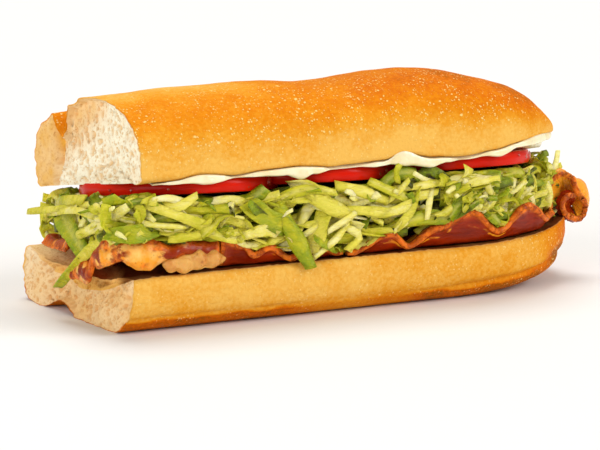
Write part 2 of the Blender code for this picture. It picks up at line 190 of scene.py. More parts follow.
def remap(tree, value, low, high, newLow=0.0, newHigh=1.0):
    return addNode(tree, "MapRange", {"Value": value, "From Min": low, "From Max": high, "To Min": newLow,
                                      "To Max": newHigh}, interpolation_type="SMOOTHSTEP").outputs["Result"]


def sums(tree, operation, first, second):
    return addNode(tree, "Math", {0: first, 1: second}, operation=operation).outputs[0]


def colourRamp(tree, factor, stops):
    node = addNode(tree, "ValToRGB", {"Fac": factor})
    elements = node.color_ramp.elements
    while len(elements) < len(stops):
        elements.new(0.5)
    for element, (place, colour) in zip(elements, stops):
        element.position = place
        element.color = (*colour, 1.0)
    return node.outputs["Color"]


def layerValue(tree, name):
    return addNode(tree, "Attribute", attribute_name=name, attribute_type="GEOMETRY").outputs["Fac"]


def newGroup(name, inputs, outputs):
    tree = bpy.data.node_groups.new(name, "ShaderNodeTree")
    for title, kind, value in inputs:
        socket = tree.interface.new_socket(title, in_out="INPUT", socket_type=kind)
        if value is not None:
            socket.default_value = value
    for title, kind in outputs:
        tree.interface.new_socket(title, in_out="OUTPUT", socket_type=kind)
    return tree, tree.nodes.new("NodeGroupInput").outputs, tree.nodes.new("NodeGroupOutput").inputs


def makeMottleGroup():             # cloudy variation, from 0 to 1
    tree, given, result = newGroup(
        "mottle",
        [("Vector", "NodeSocketVector", None), ("Scale", "NodeSocketFloat", 100.0),
         ("Stretch", "NodeSocketVector", (1.0, 1.0, 1.0)), ("Low", "NodeSocketFloat", 0.35),
         ("High", "NodeSocketFloat", 0.65), ("Detail", "NodeSocketFloat", 4.0)],
        [("Mask", "NodeSocketFloat")])
    stretched = addNode(tree, "VectorMath", {0: given["Vector"], 1: given["Stretch"]}, operation="MULTIPLY")
    clouds = addNode(tree, "TexNoise", {"Vector": stretched.outputs[0], "Scale": given["Scale"],
                                        "Detail": given["Detail"], "Roughness": 0.6})
    mask = remap(tree, clouds.outputs["Fac"], given["Low"], given["High"])
    tree.links.new(mask, result["Mask"])
    return tree


def makeSpeckleGroup():            # scattered flecks of uneven size: blisters, pores, pepper
    tree, given, result = newGroup(
        "speckle",
        [("Vector", "NodeSocketVector", None), ("Scale", "NodeSocketFloat", 800.0),
         ("Share", "NodeSocketFloat", 0.4), ("Size", "NodeSocketFloat", 0.35),
         ("Warp", "NodeSocketFloat", 0.0006)],
        [("Mask", "NodeSocketFloat")])
    wobble = addNode(tree, "TexNoise", {"Vector": given["Vector"], "Scale": given["Scale"], "Detail": 2.0})
    centred = addNode(tree, "VectorMath", {0: wobble.outputs["Color"], 1: (0.5, 0.5, 0.5)},
                      operation="SUBTRACT")
    moved = addNode(tree, "VectorMath", {0: centred.outputs[0], "Scale": given["Warp"]}, operation="SCALE")
    place = addNode(tree, "VectorMath", {0: given["Vector"], 1: moved.outputs[0]}, operation="ADD")
    cells = addNode(tree, "TexVoronoi", {"Vector": place.outputs[0], "Scale": given["Scale"]})
    pick = addNode(tree, "SeparateColor", {"Color": cells.outputs["Color"]})
    chosen = sums(tree, "LESS_THAN", pick.outputs["Red"], given["Share"])
    reach = sums(tree, "MULTIPLY", given["Size"], remap(tree, pick.outputs["Green"], 0.0, 1.0, 0.45, 1.25))
    dot = addNode(tree, "MapRange", {"Value": cells.outputs["Distance"], "From Min": reach, "From Max": 0.0})
    tree.links.new(sums(tree, "MULTIPLY", chosen, dot.outputs["Result"]), result["Mask"])
    return tree


mottleGroup = makeMottleGroup()
speckleGroup = makeSpeckleGroup()


def placeGroup(tree, group, vector, values):
    node = tree.nodes.new("ShaderNodeGroup")
    node.node_tree = group
    tree.links.new(vector, node.inputs["Vector"])
    for name, value in values.items():
        node.inputs[name].default_value = value
    return node.outputs["Mask"]


def mottle(tree, vector, **values):
    return placeGroup(tree, mottleGroup, vector, values)


def speckle(tree, vector, **values):
    return placeGroup(tree, speckleGroup, vector, values)


def startMaterial(name):
    material = bpy.data.materials.new(name)
    material.use_nodes = True
    tree = material.node_tree
    return material, tree, tree.nodes["Principled BSDF"], addNode(tree, "TexCoord").outputs["Object"]


def soaked(shader, weight, radius):    # light passes a little way into the food
    shader.inputs["Subsurface Weight"].default_value = weight
    shader.inputs["Subsurface Radius"].default_value = radius
    shader.inputs["Subsurface Scale"].default_value = 1.0


def coated(shader, weight, roughness):     # a thin wet or greasy film
    shader.inputs["Coat Weight"].default_value = weight
    shader.inputs["Coat Roughness"].default_value = roughness


def bumped(tree, shader, height, distance):
    bump = addNode(tree, "Bump", {"Height": height, "Distance": distance, "Strength": 1.0})
    tree.links.new(bump.outputs["Normal"], shader.inputs["Normal"])


# ---- bread

breadLook = {
    "crustStops": [(0.0, (0.88, 0.50, 0.10)), (0.3, (0.81, 0.34, 0.022)), (0.55, (0.75, 0.24, 0.004)),
                   (0.8, (0.66, 0.150, 0.002)), (1.0, (0.38, 0.11, 0.002))],
    "blister": (1.0, 0.72, 0.26),
    "crumbWall": (1.0, 0.94, 0.74),
    "crumbTan": (0.84, 0.45, 0.075),
    # colour multiplied into the crumb's pores: painted shade
    "crumbPoreShade": (0.72, 0.44, 0.15),
    # dark colour for the cut surface under the bacon: grease stain and painted shade
    "greaseAndShade": (0.13, 0.030, 0.006),
    "crustRoughness": 0.55,
    "crumbRoughness": 0.9,
}


def makeBreadMaterial(name, look):
    material, tree, shader, place = startMaterial(name)
    # this layer holds the crust's browning and also a painted highlight on the top half's crown
    browningAndHighlight = layerValue(tree, "browningAndHighlight")
    crumb = layerValue(tree, "crumb")
    pore = layerValue(tree, "pore")
    # crust: browned patches, fine grain and pale blisters
    patches = mottle(tree, place, Scale=55.0, Detail=5.0, Low=0.3, High=0.7)
    fine = mottle(tree, place, Scale=750.0, Detail=5.0, Low=0.3, High=0.7)
    shade = sums(tree, "ADD", browningAndHighlight, remap(tree, patches, 0.0, 1.0, -0.08, 0.08))
    shade = sums(tree, "ADD", shade, remap(tree, fine, 0.0, 1.0, -0.08, 0.08))
    crust = colourRamp(tree, shade, look["crustStops"])
    blisters = speckle(tree, place, Scale=1000.0, Share=0.50, Size=0.40, Warp=0.0009)
    crowded = mottle(tree, place, Scale=100.0, Detail=4.0, Low=0.38, High=0.56)
    large = speckle(tree, place, Scale=480.0, Share=0.13, Size=0.27, Warp=0.0014)
    dust = speckle(tree, place, Scale=1400.0, Share=0.30, Size=0.42, Warp=0.0004)
    flecks = sums(tree, "MULTIPLY", sums(tree, "MAXIMUM", blisters, large), crowded)
    flecks = sums(tree, "MAXIMUM", flecks, sums(tree, "MULTIPLY", dust, 0.35))
    flecks = sums(tree, "MULTIPLY", flecks, layerValue(tree, "blistered"))
    crust = mixColour(tree, remap(tree, flecks, 0.02, 0.45, 0.0, 0.85), crust, look["blister"])
    # crumb: cream walls, with tan painted shade in pores of two sizes
    smallPores = speckle(tree, place, Scale=880.0, Share=0.85, Size=0.55, Warp=0.0016)
    tinyPores = speckle(tree, place, Scale=1600.0, Share=0.85, Size=0.50, Warp=0.0008)
    airy = mottle(tree, place, Scale=170.0, Detail=2.0, Low=0.30, High=0.62)
    clustered = sums(tree, "MULTIPLY", smallPores, remap(tree, airy, 0.0, 1.0, 0.35, 1.0))
    holes = sums(tree, "MAXIMUM", sums(tree, "MULTIPLY", pore, 0.75), clustered)
    holes = sums(tree, "MAXIMUM", holes, sums(tree, "MULTIPLY", tinyPores, 0.4))
    holes = sums(tree, "MULTIPLY", holes, remap(tree, layerValue(tree, "tan"), 0.3, 0.9, 1.0, 0.7))
    soft = mixColour(tree, layerValue(tree, "tan"), look["crumbWall"], look["crumbTan"])
    # the pores are darkened with painted shade
    soft = mixColour(tree, holes, soft, look["crumbPoreShade"], "MULTIPLY")
    # grease stain and painted shade on the cut surface under the bacon
    soft = mixColour(tree, layerValue(tree, "greaseAndShade"), soft, look["greaseAndShade"])
    tree.links.new(mixColour(tree, crumb, crust, soft), shader.inputs["Base Color"])
    dull = remap(tree, crumb, 0.0, 1.0, look["crustRoughness"], look["crumbRoughness"])
    tree.links.new(dull, shader.inputs["Roughness"])
    shader.inputs["Specular IOR Level"].default_value = 0.03
    # relief: blisters stand up on the crust, pores sink into the crumb
    pits = sums(tree, "MULTIPLY", sums(tree, "MULTIPLY", holes, crumb), -1.0)
    rise = sums(tree, "MULTIPLY", remap(tree, flecks, 0.0, 0.5), 0.25)
    rise = sums(tree, "ADD", rise, sums(tree, "MULTIPLY", fine, 0.28))
    rise = sums(tree, "MULTIPLY", rise, sums(tree, "SUBTRACT", 1.0, crumb))
    bumped(tree, shader, sums(tree, "ADD", sums(tree, "MULTIPLY", pits, 0.4), rise), 0.0007)
    return material


def noseShare(x, rightX, length, power=2.3):
    t = np.maximum(0.0, (x - (rightX - length)) / length)
    return np.maximum(0.0, 1.0 - t**power) ** (1.0 / 1.9)


def makeStations(leftX, rightX, noseLength):
    torn = np.linspace(0.0, 12.0, 26)[:-1] + leftX
    straight = np.linspace(leftX + 12.0, rightX - noseLength, 84)[:-1]
    angles = np.linspace(0.0, 0.5 * math.pi - 0.012, 62)
    return np.concatenate([torn, straight, rightX - noseLength * (1.0 - np.sin(angles))])


def scatterPores(points, seed, count, sizes, box):      # how deep each (y, z) point lies in a pore, 0 to 1
    rng = random.Random(seed)
    depth = np.zeros(len(points))
    for _ in range(count):
        y = rng.uniform(box[0], box[1])
        z = rng.uniform(box[2], box[3])
        size = sizes[0] + (sizes[1] - sizes[0]) * rng.random() ** 2.5
        turn = rng.uniform(0.0, math.pi)
        stretch = rng.uniform(1.0, 1.7)
        dy = points[:, 0] - y
        dz = points[:, 1] - z
        a = (dy * math.cos(turn) + dz * math.sin(turn)) / (size * stretch)
        b = (dz * math.cos(turn) - dy * math.sin(turn)) / size
        depth = np.maximum(depth, 1.0 - (a * a + b * b))
    return np.clip(depth, 0.0, 1.0) ** 0.6


def breadPoints(ringAt, stations, cutCount, crustCount, shares):
    rows = []
    for x in stations:
        cutLine, crustLine = ringAt(x)
        ring = np.concatenate([spread(cutLine, cutCount), spread(crustLine, crustCount + 2)[1:-1]])
        ring = soften(ring, 2)
        rows.append(np.column_stack([np.full(len(ring), x), ring]))
    rows = np.array(rows)
    # the torn face: smaller and smaller copies of the first ring
    outline = rows[0][:, 1:]
    middle = np.array([0.5 * (outline[:, 0].min() + outline[:, 0].max()),
                       0.5 * (outline[:, 1].min() + outline[:, 1].max())])
    face = []
    for share in shares:
        inner = middle + (outline - middle) * share
        face.append(np.column_stack([np.full(len(inner), stations[0]), inner]))
    return rows, np.array(face)


def withEnds(layers):              # one more value for the middle of each end; the right end is crust
    layers = {name: np.append(values.ravel(), [values.ravel()[0], values.ravel()[-1]])
              for name, values in layers.items()}
    layers["crumb"][-1] = 0.0
    return layers


def crumbLayers(rows, face, holes, faceEdge, cutCount):    # where crumb shows, its pores, the cut side
    onFace = np.zeros((len(face) + len(rows), rows.shape[1]))
    onFace[:len(face)] = smooth(0.006, faceEdge, 1.0 - tornShares)[::-1][:, None]
    onCut = np.zeros(rows.shape[1])
    onCut[2:cutCount - 2] = 1.0
    pores = np.zeros_like(onFace)
    pores[:len(face)] = holes[::-1]
    return np.maximum(onFace, onCut[None, :]), pores, onCut


def joinBread(rows, face):
    count = rows.shape[1]
    grid = np.concatenate([face[::-1], rows])
    faces = gridFaces(len(grid), count, True)
    points = grid.reshape(-1, 3)
    ends = [grid[0].mean(axis=0), grid[-1].mean(axis=0)]
    first = len(points)
    last = (len(grid) - 1) * count
    for i in range(count):
        j = (i + 1) % count
        faces.append([j, i, first])
        faces.append([last + i, last + j, first + 1])
    return np.concatenate([points, ends]), faces


tornShares = 1.0 - np.concatenate([[0.006, 0.014, 0.023], np.linspace(0.033, 0.985, 96)])

bottomHalf = {
    "thickness": 19.4, "halfWidth": 40.0, "flatHalf": 29.0, "bellyHeight": 12.5,
    "leftX": -92.0, "rightX": 94.5, "noseLength": 58.0,
    "endSlant": 0.105, "lipReach": 3.1, "rightLift": 4.5, "liftFrom": 32.0,
    "biteCentre": 9.0, "biteHalfWidth": 13.0, "biteHeight": 4.6, "biteDepth": 16.0,
    "bandHeight": 4.6, "cutCount": 70, "crustCount": 226,
}


def bottomLift(x):
    t = np.maximum(0.0, (x - bottomHalf["liftFrom"]) / (bottomHalf["rightX"] - bottomHalf["liftFrom"]))
    return bottomHalf["rightLift"] * t * t


def bottomTop(x):
    return bottomHalf["thickness"] + bottomLift(x)


def bottomRing(x):
    half = bottomHalf
    size = noseShare(x, half["rightX"], half["noseLength"])
    wide = half["halfWidth"] * size
    flat = half["flatHalf"] * size
    top = bottomTop(x)
    under = bottomLift(x) * 1.3 + 11.0 * (1.0 - noseShare(x, half["rightX"], 34.0, 2.0))
    belly = under + (top - under) * half["bellyHeight"] / half["thickness"]
    cutLine = [(-0.985 * wide, top - 0.25), (-0.96 * wide, top), (0.96 * wide, top),
               (0.985 * wide, top - 0.25)]
    angles = np.linspace(math.radians(90), math.radians(2), 16)
    side = np.column_stack([flat + (wide - flat) * np.sin(angles),
                            under + (belly - under) * (1 - np.cos(angles))])
    upper = [(wide * 0.995, top - 1.2), (wide, 0.5 * (top + belly))]
    down = np.concatenate([upper, side])
    crustLine = np.concatenate([down, down[::-1] * (-1.0, 1.0)])
    return cutLine, crustLine


def bottomEndX(y, z):
    half = bottomHalf
    slant = half["endSlant"] * (y + half["halfWidth"])
    return half["leftX"] - slant - half["lipReach"] * (1.0 - z / half["thickness"])


def shapeTornEnd(rows, face, endX, leftX):
    reach = 1.0 - smooth(0.0, 30.0, rows[..., 0] - leftX)
    near = 1.0 - smooth(0.0, 5.0, rows[..., 0] - leftX)
    ragged = 0.8 * lumps(rows * (0.0, 1.0, 1.0), 4.5, 15) + 0.5 * lumps(rows * (0.0, 1.0, 1.0), 1.9, 16)
    rows[..., 0] += reach * (endX(rows[..., 1], rows[..., 2]) - leftX) + near * ragged
    fade = np.linspace(1.0, 0.0, len(face))[:, None] ** 6
    face[..., 0] = endX(face[..., 1], face[..., 2]) + ragged[0] * fade


def buildBreadBottom(material):
    half = bottomHalf
    stations = makeStations(half["leftX"], half["rightX"], half["noseLength"])
    rows, face = breadPoints(bottomRing, stations, half["cutCount"], half["crustCount"], tornShares)
    grid = np.concatenate([face[::-1], rows])
    # the arch bitten out from below
    near = 1.0 - smooth(0.0, half["biteDepth"], grid[..., 0] - half["leftX"] + 4.0)
    low = 1.0 - smooth(0.5, 9.0, grid[..., 2])
    arch = hump(half["biteCentre"], half["biteHalfWidth"], grid[..., 1])
    grid[..., 2] += half["biteHeight"] * near * low * arch
    # the upper edge of the torn end is worn down towards the end
    worn = (1.0 - smooth(0.0, 13.0, grid[..., 0] - half["leftX"])) * smooth(7.0, 19.4, grid[..., 2])
    worn *= 0.15 + 0.85 * smooth(-36.0, -16.0, grid[..., 1]) * (1.0 - smooth(24.0, 38.0, grid[..., 1]))
    grid[..., 2] -= (3.6 + 0.8 * lumps(grid * (0.4, 1.0, 0.0), 7.0, 7)) * worn
    face, rows = grid[:len(face)][::-1].copy(), grid[len(face):].copy()
    shapeTornEnd(rows, face, bottomEndX, half["leftX"])
    y, z = face[..., 1], face[..., 2]
    inner = np.broadcast_to(smooth(0.0, 0.12, 1.0 - tornShares)[:, None], y.shape)
    face[..., 0] += inner * (3.0 * hump(8.0, 26.0, y) - 1.2 * hump(-24.0, 14.0, y)
                             + 1.6 * smooth(10.0, 19.0, z))
    face[..., 0] += inner * 1.5 * lumps(face, 8.0, 1)
    flat = np.column_stack([y.ravel(), z.ravel()])
    box = (-42.0, 42.0, -1.0, 21.0)
    holes = scatterPores(flat, 12, 320, (0.45, 0.95), box)
    holes = holes.reshape(y.shape) * inner
    face[..., 0] += 0.7 * holes + 0.5 * lumps(face, 3.2, 10)
    points, faces = joinBread(rows, face)
    # layers for the material
    crumb, pores, onCut = crumbLayers(rows, face, holes, 0.03, half["cutCount"])
    grid = np.concatenate([face[::-1], rows])
    x, y, z = grid[..., 0], grid[..., 1], grid[..., 2]
    broken = lumps(grid, 9.0, 5)
    under = bottomLift(x) * 1.3
    band = 1.0 - smooth(half["bandHeight"] - 0.6, half["bandHeight"] + 0.3, z - under + 0.9 * broken)
    bandHere = np.maximum(1.0 - smooth(-38.0, -20.0, x), smooth(6.0, 20.0, x)) * 0.7 + 0.3
    dent = hump(80.0, 11.0, x) * hump(8.0, 5.0, z - under) * smooth(-1.0, 1.0, -y)
    browningAndHighlight = 0.10 + 0.10 * smooth(-40.0, 60.0, x) + 0.60 * smooth(54.0, 92.0, x)
    browningAndHighlight += 0.20 * (1.0 - smooth(4.0, 9.0, z - under)) + 0.08 * broken
    browningAndHighlight = browningAndHighlight + 0.3 * dent + (0.88 - browningAndHighlight) * band * bandHere
    blistered = 0.45 + 0.5 * smooth(40.0, 80.0, x)
    tan = 0.68 + 0.18 * lumps(grid, 11.0, 6) - 0.15 * smooth(12.0, 18.0, z) - 0.15 * smooth(12.0, 26.0, y)
    tan = tan + 0.30 * onCut[None, :]
    # the cut surface inward from the torn end, under the bacon, is darkened: grease stain and painted shade
    greaseAndShade = onCut[None, :] * smooth(-0.5, 4.0, x - half["leftX"] - 0.4 * (y + 22.0))
    greaseAndShade = greaseAndShade * (1.0 + 0.2 * lumps(grid, 9.0, 13))
    layers = {"browningAndHighlight": browningAndHighlight, "crumb": crumb, "pore": pores, "blistered": blistered, "tan": tan,
              "greaseAndShade": greaseAndShade}
    layers = withEnds(layers)
    piece = makePiece("breadBottom", points, faces, material, layers)
    crease = hump(half["bandHeight"] + 0.7, 1.2, z - under) * bandHere * (0.5 + 0.5 * lumps(grid, 14.0, 8))
    fold = hump(half["bandHeight"] + 1.2, 2.4, z - under) * smooth(20.0, 44.0, x)
    fold = fold * (1.0 - smooth(84.0, 92.0, x))
    amounts = 0.45 * lumps(grid, 16.0, 3) + 0.15 * lumps(grid, 4.0, 4) - 0.9 * np.maximum(0.0, crease)
    amounts -= 1.3 * fold * (0.75 + 0.4 * lumps(grid, 10.0, 14)) + 1.3 * dent
    amounts = amounts * (1.0 - 0.5 * crumb) + 0.35 * crumb * lumps(grid, 1.8, 9)
    amounts *= smooth(0.0, 2.0, z)
    pushOut(piece, np.append(amounts.ravel(), [0.0, 0.0]))
    standsFor(piece, "crust_bottom", "bread_bottom")
    return piece


topHalf = {
    "place": (0.0, 0.0, 47.4), "tilt": -8.3, "rise": -1.3,
    "halfWidth": 38.4, "rimHalf": 37.4, "bellyHeight": 7.0,
    "leftX": -88.5, "rightX": 89.0, "noseLength": 52.0, "endSlant": 0.11,
    "hollow": 2.8, "endLift": 3.0, "roundness": 0.86, "cutCount": 60, "crustCount": 240,
    "crown": ((-92, 29.6), (-60, 30.8), (-32, 30.6), (-6, 29.2), (24, 31.2), (90, 26.0)),
    "dentAt": 16.5, "dentHalfWidth": 6.5, "dentDepth": 11.5, "dentLength": 20.0,
    # how far the front edge of the crust sags along the roll
    "sag": ((-90, 0.9), (-76, 0.8), (-67, 0.1), (-54, 1.1), (-44, 0.6), (-32, 0.4), (-16, 1.7), (2, 1.5),
            (12, 0.4), (22, 2.2), (35, 2.9), (46, 1.7), (58, 0.5), (90, 0.0)),
}


def topMatrix():
    turn = Matrix.Rotation(math.radians(topHalf["rise"]), 4, "Y") @ Matrix.Rotation(
        math.radians(topHalf["tilt"]), 4, "X")
    return Matrix.Translation(topHalf["place"]) @ turn


def carried(points, matrix):
    points = np.asarray(points, float)
    turn = np.array(matrix)
    return points @ turn[:3, :3].T + turn[:3, 3]


def topEndLift(x):
    return topHalf["endLift"] * smooth(45.0, topHalf["rightX"], x)


def edgeSag(x, share):             # the front edge hangs lower, the back edge a little
    front = smooth(0.84, 0.97, -share) + 0.5 * smooth(0.84, 0.97, share)
    return front * through(topHalf["sag"], x)


def cutFaceZ(x, share):
    inside = smooth(-62.0, -46.0, x) * (1.0 - smooth(66.0, 84.0, x))
    inside = inside * (1.0 - smooth(0.86, 0.97, np.abs(share)))
    return topHalf["hollow"] * inside + topEndLift(x) - edgeSag(x, share)


def topRing(x):
    half = topHalf
    size = noseShare(x, half["rightX"], half["noseLength"])
    tall = noseShare(x, half["rightX"], half["noseLength"] + 14.0, 2.1)
    rim = half["rimHalf"] * size
    wide = half["halfWidth"] * size
    shares = np.linspace(-0.97, 0.97, 40)
    cutLine = np.column_stack([shares * rim, [cutFaceZ(x, share) for share in shares]])
    lift = topEndLift(x)
    height = through(half["crown"], x) * tall * (1.0 - 0.50 * smooth(66.0, 89.0, x))
    belly = min(half["bellyHeight"], 0.3 * height)
    side = [(rim, 0.8), (rim + (wide - rim) * 0.5, belly * 0.25), (rim + (wide - rim) * 0.85, belly * 0.6)]
    angles = np.linspace(0.0, math.pi, 60)
    over = np.column_stack([
        wide * np.copysign(np.abs(np.cos(angles)) ** half["roundness"], np.cos(angles)),
        belly + (height - belly) * np.abs(np.sin(angles)) ** half["roundness"]])
    crustLine = np.concatenate([side, over, np.array(side)[::-1] * (-1.0, 1.0)])
    sag = float(edgeSag(x, -1.0)) * np.where(crustLine[:, 0] < 0.0, 1.0, 0.5)
    crustLine[:, 1] += lift - sag * (1.0 - smooth(0.0, 9.0, crustLine[:, 1]))
    return cutLine, crustLine


def topEndX(y, z):
    half = topHalf
    return half["leftX"] - half["endSlant"] * (y + half["halfWidth"])


def buildBreadTop(material):
    half = topHalf
    stations = makeStations(half["leftX"], half["rightX"], half["noseLength"])
    rows, face = breadPoints(topRing, stations, half["cutCount"], half["crustCount"], tornShares)
    grid = np.concatenate([face[::-1], rows])
    # a pinch in the crust beside the crown, deepest at the torn end
    along = 1.0 - smooth(0.0, half["dentLength"], grid[..., 0] - half["leftX"])
    across = hump(half["dentAt"], half["dentHalfWidth"], grid[..., 1] + 0.12 * (grid[..., 2] - 20.0))
    grid[..., 2] -= half["dentDepth"] * along * across * smooth(8.0, 25.0, grid[..., 2])
    grid[..., 2] -= 1.8 * along * hump(24.0, 10.0, grid[..., 1]) * smooth(12.0, 24.0, grid[..., 2])
    grid[..., 2] -= 1.9 * along * hump(7.0, 8.0, grid[..., 1]) * smooth(12.0, 24.0, grid[..., 2])
    face, rows = grid[:len(face)][::-1].copy(), grid[len(face):].copy()
    shapeTornEnd(rows, face, topEndX, half["leftX"])
    y, z = face[..., 1], face[..., 2]
    inner = np.broadcast_to(smooth(0.0, 0.10, 1.0 - tornShares)[:, None], y.shape)
    hollow = smooth(-8.0, 8.0, z - 17.0 + 0.42 * y + 2.5 * lumps(face, 7.0, 34)) * smooth(-22.0, -2.0, y)
    fold = y + 0.16 * (z - 14.0) + 1.2 * lumps(face, 9.0, 33)
    flap = smooth(19.5, 23.0, fold)
    groove = hump(19.5, 2.4, fold)
    bulge = 1.4 * hump(-14.0, 22.0, y) * smooth(2.0, 9.0, z)
    face[..., 0] += inner * (2.4 * hollow * (1.0 - flap) - 0.8 * flap + bulge)
    face[..., 0] += inner * (1.0 * lumps(face, 8.0, 21) + 0.3 * lumps(face, 2.8, 22)) * (1.0 - 0.75 * flap)
    face[..., 0] += inner * 1.8 * groove
    flat = np.column_stack([y.ravel(), z.ravel()])
    box = (-40.0, 40.0, -2.0, 32.0)
    holes = scatterPores(flat, 32, 420, (0.5, 1.15), box)
    holes = holes.reshape(y.shape) * inner * (1.0 - 0.7 * flap) * (1.0 - 0.25 * hollow)
    face[..., 0] += 1.0 * holes
    points, faces = joinBread(rows, face)
    crumb, pores, _ = crumbLayers(rows, face, holes, 0.028, half["cutCount"])
    tan = np.full_like(pores, 0.1)
    # tan on the flap; the tan in the hollow and in the groove is painted shade
    tanWithHollowShade = 0.04 + 0.62 * hollow * (1.0 - flap) + 0.80 * flap + 0.5 * groove + 0.15 * lumps(face, 3.0, 35)
    tan[:len(face)] = tanWithHollowShade[::-1]
    grid = np.concatenate([face[::-1], rows])
    x, y, z = grid[..., 0], grid[..., 1], grid[..., 2]
    tan = tan + 0.09 * lumps(grid, 9.0, 24)
    share = z / np.maximum(6.0, through(half["crown"], x))
    browningAndHighlight = 0.03 + 0.46 * smooth(0.05, 0.72, share)
    browningAndHighlight += 0.30 * smooth(-70.0, 50.0, x) * smooth(0.2, 0.8, share)
    browningAndHighlight += 0.16 * smooth(50.0, 88.0, x) + 0.07 * lumps(grid, 14.0, 25) + 0.04 * lumps(grid, 5.0, 26)
    browningAndHighlight += 0.14 * smooth(0.0, 40.0, x) * hump(0.42, 0.3, share)
    # painted highlight: the top of the crown is drawn paler towards the torn end
    browningAndHighlight -= 0.36 * smooth(0.8, 1.0, share) * (1.0 - smooth(-70.0, -15.0, x))
    pale = hump(4.0, 16.0, x + 0.25 * z) * (1.0 - smooth(0.1, 0.62, share)) * smooth(-20.0, -30.0, -np.abs(y))
    browningAndHighlight -= 0.22 * pale * (0.6 + 0.4 * lumps(grid * (3.0, 1.0, 0.4), 6.0, 27))
    layers = {"browningAndHighlight": browningAndHighlight, "crumb": crumb, "pore": pores, "tan": tan, "greaseAndShade": tan * 0.0,
              "blistered": 0.45 + 0.55 * smooth(0.12, 0.4, share)}
    layers = withEnds(layers)
    piece = makePiece("breadTop", carried(points, topMatrix()), faces, material, layers)
    amounts = 0.45 * lumps(grid, 20.0, 28) + 0.18 * lumps(grid, 6.0, 29) + 0.05 * lumps(grid, 2.0, 30)
    amounts *= 1.0 - 0.5 * crumb
    pushOut(piece, np.append(amounts.ravel(), [0.0, 0.0]))
    standsFor(piece, "crust_top", "bread_top")
    return piece


breadMaterial = makeBreadMaterial("bakedBread", breadLook)
buildBreadBottom(breadMaterial)
buildBreadTop(breadMaterial)
print("stage: bread halves")


# ---- mayonnaise under the top half

mayo = {
    "colour": (0.96, 0.87, 0.60), "shade": (0.88, 0.72, 0.40),
    "thickness": 0.35, "gap": 0.05, "leftX": -84.0, "rightX": 82.5,
    # place along the roll, how far it hangs there
    "hangs": ((-84, 0.0), (-76, 0.6), (-64, 2.2), (-54, 0.0), (-44, 1.1), (-36, 1.6), (-30, 3.6),
              (-25, 1.6), (-17, 0.0), (-8, 0.1), (-1, 0.9), (4, 0.6), (11, 2.8), (19, 2.6), (27, 0.9),
              (33, 0.0), (40, 0.3), (50, 1.8), (57, 0.8), (66, 1.5), (78, 1.6)),
    # centre, half width, how far it laps up over the crust
    "laps": ((-66, 12, 0.3), (9, 8, 2.0), (68, 12, 0.8)),
}


def makeMayoMaterial(look):
    material, tree, shader, place = startMaterial("mayonnaise")
    thin = mottle(tree, place, Scale=120.0, Detail=3.0, Low=0.35, High=0.75)
    tree.links.new(mixColour(tree, thin, look["colour"], look["shade"]), shader.inputs["Base Color"])
    tree.links.new(remap(tree, thin, 0.0, 1.0, 0.16, 0.28), shader.inputs["Roughness"])
    soaked(shader, 0.25, (0.0035, 0.0025, 0.0012))
    coated(shader, 0.3, 0.08)
    bumped(tree, shader, mottle(tree, place, Scale=260.0, Detail=2.0, Low=0.2, High=0.8), 0.0003)
    return material


def buildMayo(look):
    steps = 300
    rings = []
    for x in np.linspace(look["leftX"], look["rightX"], steps):
        ends = smooth(0.0, 5.0, x - look["leftX"]) * smooth(0.0, 6.0, look["rightX"] - x)
        wobble = 0.5 * noise.noise(Vector((x / 7.0, 3.0, 0.0)))
        wobble += 0.25 * noise.noise(Vector((x / 2.5, 8.0, 0.0)))
        hang = through(look["hangs"], x) * ends
        hang = max(0.0, hang + 0.5 * wobble * min(1.0, hang))
        lap = sum(height * hump(c, w, x) for c, w, height in look["laps"]) * ends
        rim = topHalf["rimHalf"] * noseShare(x, topHalf["rightX"], topHalf["noseLength"])
        shares = np.linspace(-0.95, 0.9, 36)
        under = np.column_stack([shares * rim, [cutFaceZ(x, share) - look["gap"] for share in shares]])
        lower = under - (0.0, look["thickness"])
        for point in lower[7:-4]:
            point[1] = min(point[1], sliceTop(x, point[0]) + 0.2)
        lower[7:-4, 1] = 0.25 * (lower[6:-5, 1] + 2.0 * lower[7:-4, 1] + lower[8:-3, 1])
        edgeY, edgeZ = -rim, cutFaceZ(x, -1.0)
        bulge = -0.9 + 1.7 * smooth(0.1, 1.2, hang) + 0.14 * hang
        front = np.array([
            (edgeY + 1.9, edgeZ - 0.5 - 0.5 * hang), (edgeY + 1.5, edgeZ - 0.4 - 0.85 * hang),
            (edgeY + 0.8, edgeZ - 0.3 - hang), (edgeY - 0.55 * bulge, edgeZ - 0.3 - 0.9 * hang),
            (edgeY - bulge, edgeZ - 0.2 - 0.6 * hang), (edgeY - bulge, edgeZ - 0.1 - 0.25 * hang),
            (edgeY - 0.85 * bulge, edgeZ + 0.3 * min(1.0, hang) + 0.6 * lap),
            (edgeY + 0.45 - 0.9 * min(1.0, lap), edgeZ + 0.55 * min(1.0, hang) + lap),
            (edgeY + 1.2, edgeZ - 0.15)])
        ring = np.concatenate([spread(under, 36), spread(lower[::-1], 36),
                               spread(curveThrough(front, 40), 30)])
        ring = soften(ring, 1)
        rings.append(np.column_stack([np.full(len(ring), x), ring]))
    grid = np.array(rings)
    count = grid.shape[1]
    faces = cappedFaces(steps, count)
    points = carried(grid.reshape(-1, 3), topMatrix())
    piece = makePiece("mayonnaiseLayer", points, faces, makeMayoMaterial(look))
    standsFor(piece, "mayonnaise", "mayo")
    return piece


# ---- tomato slices

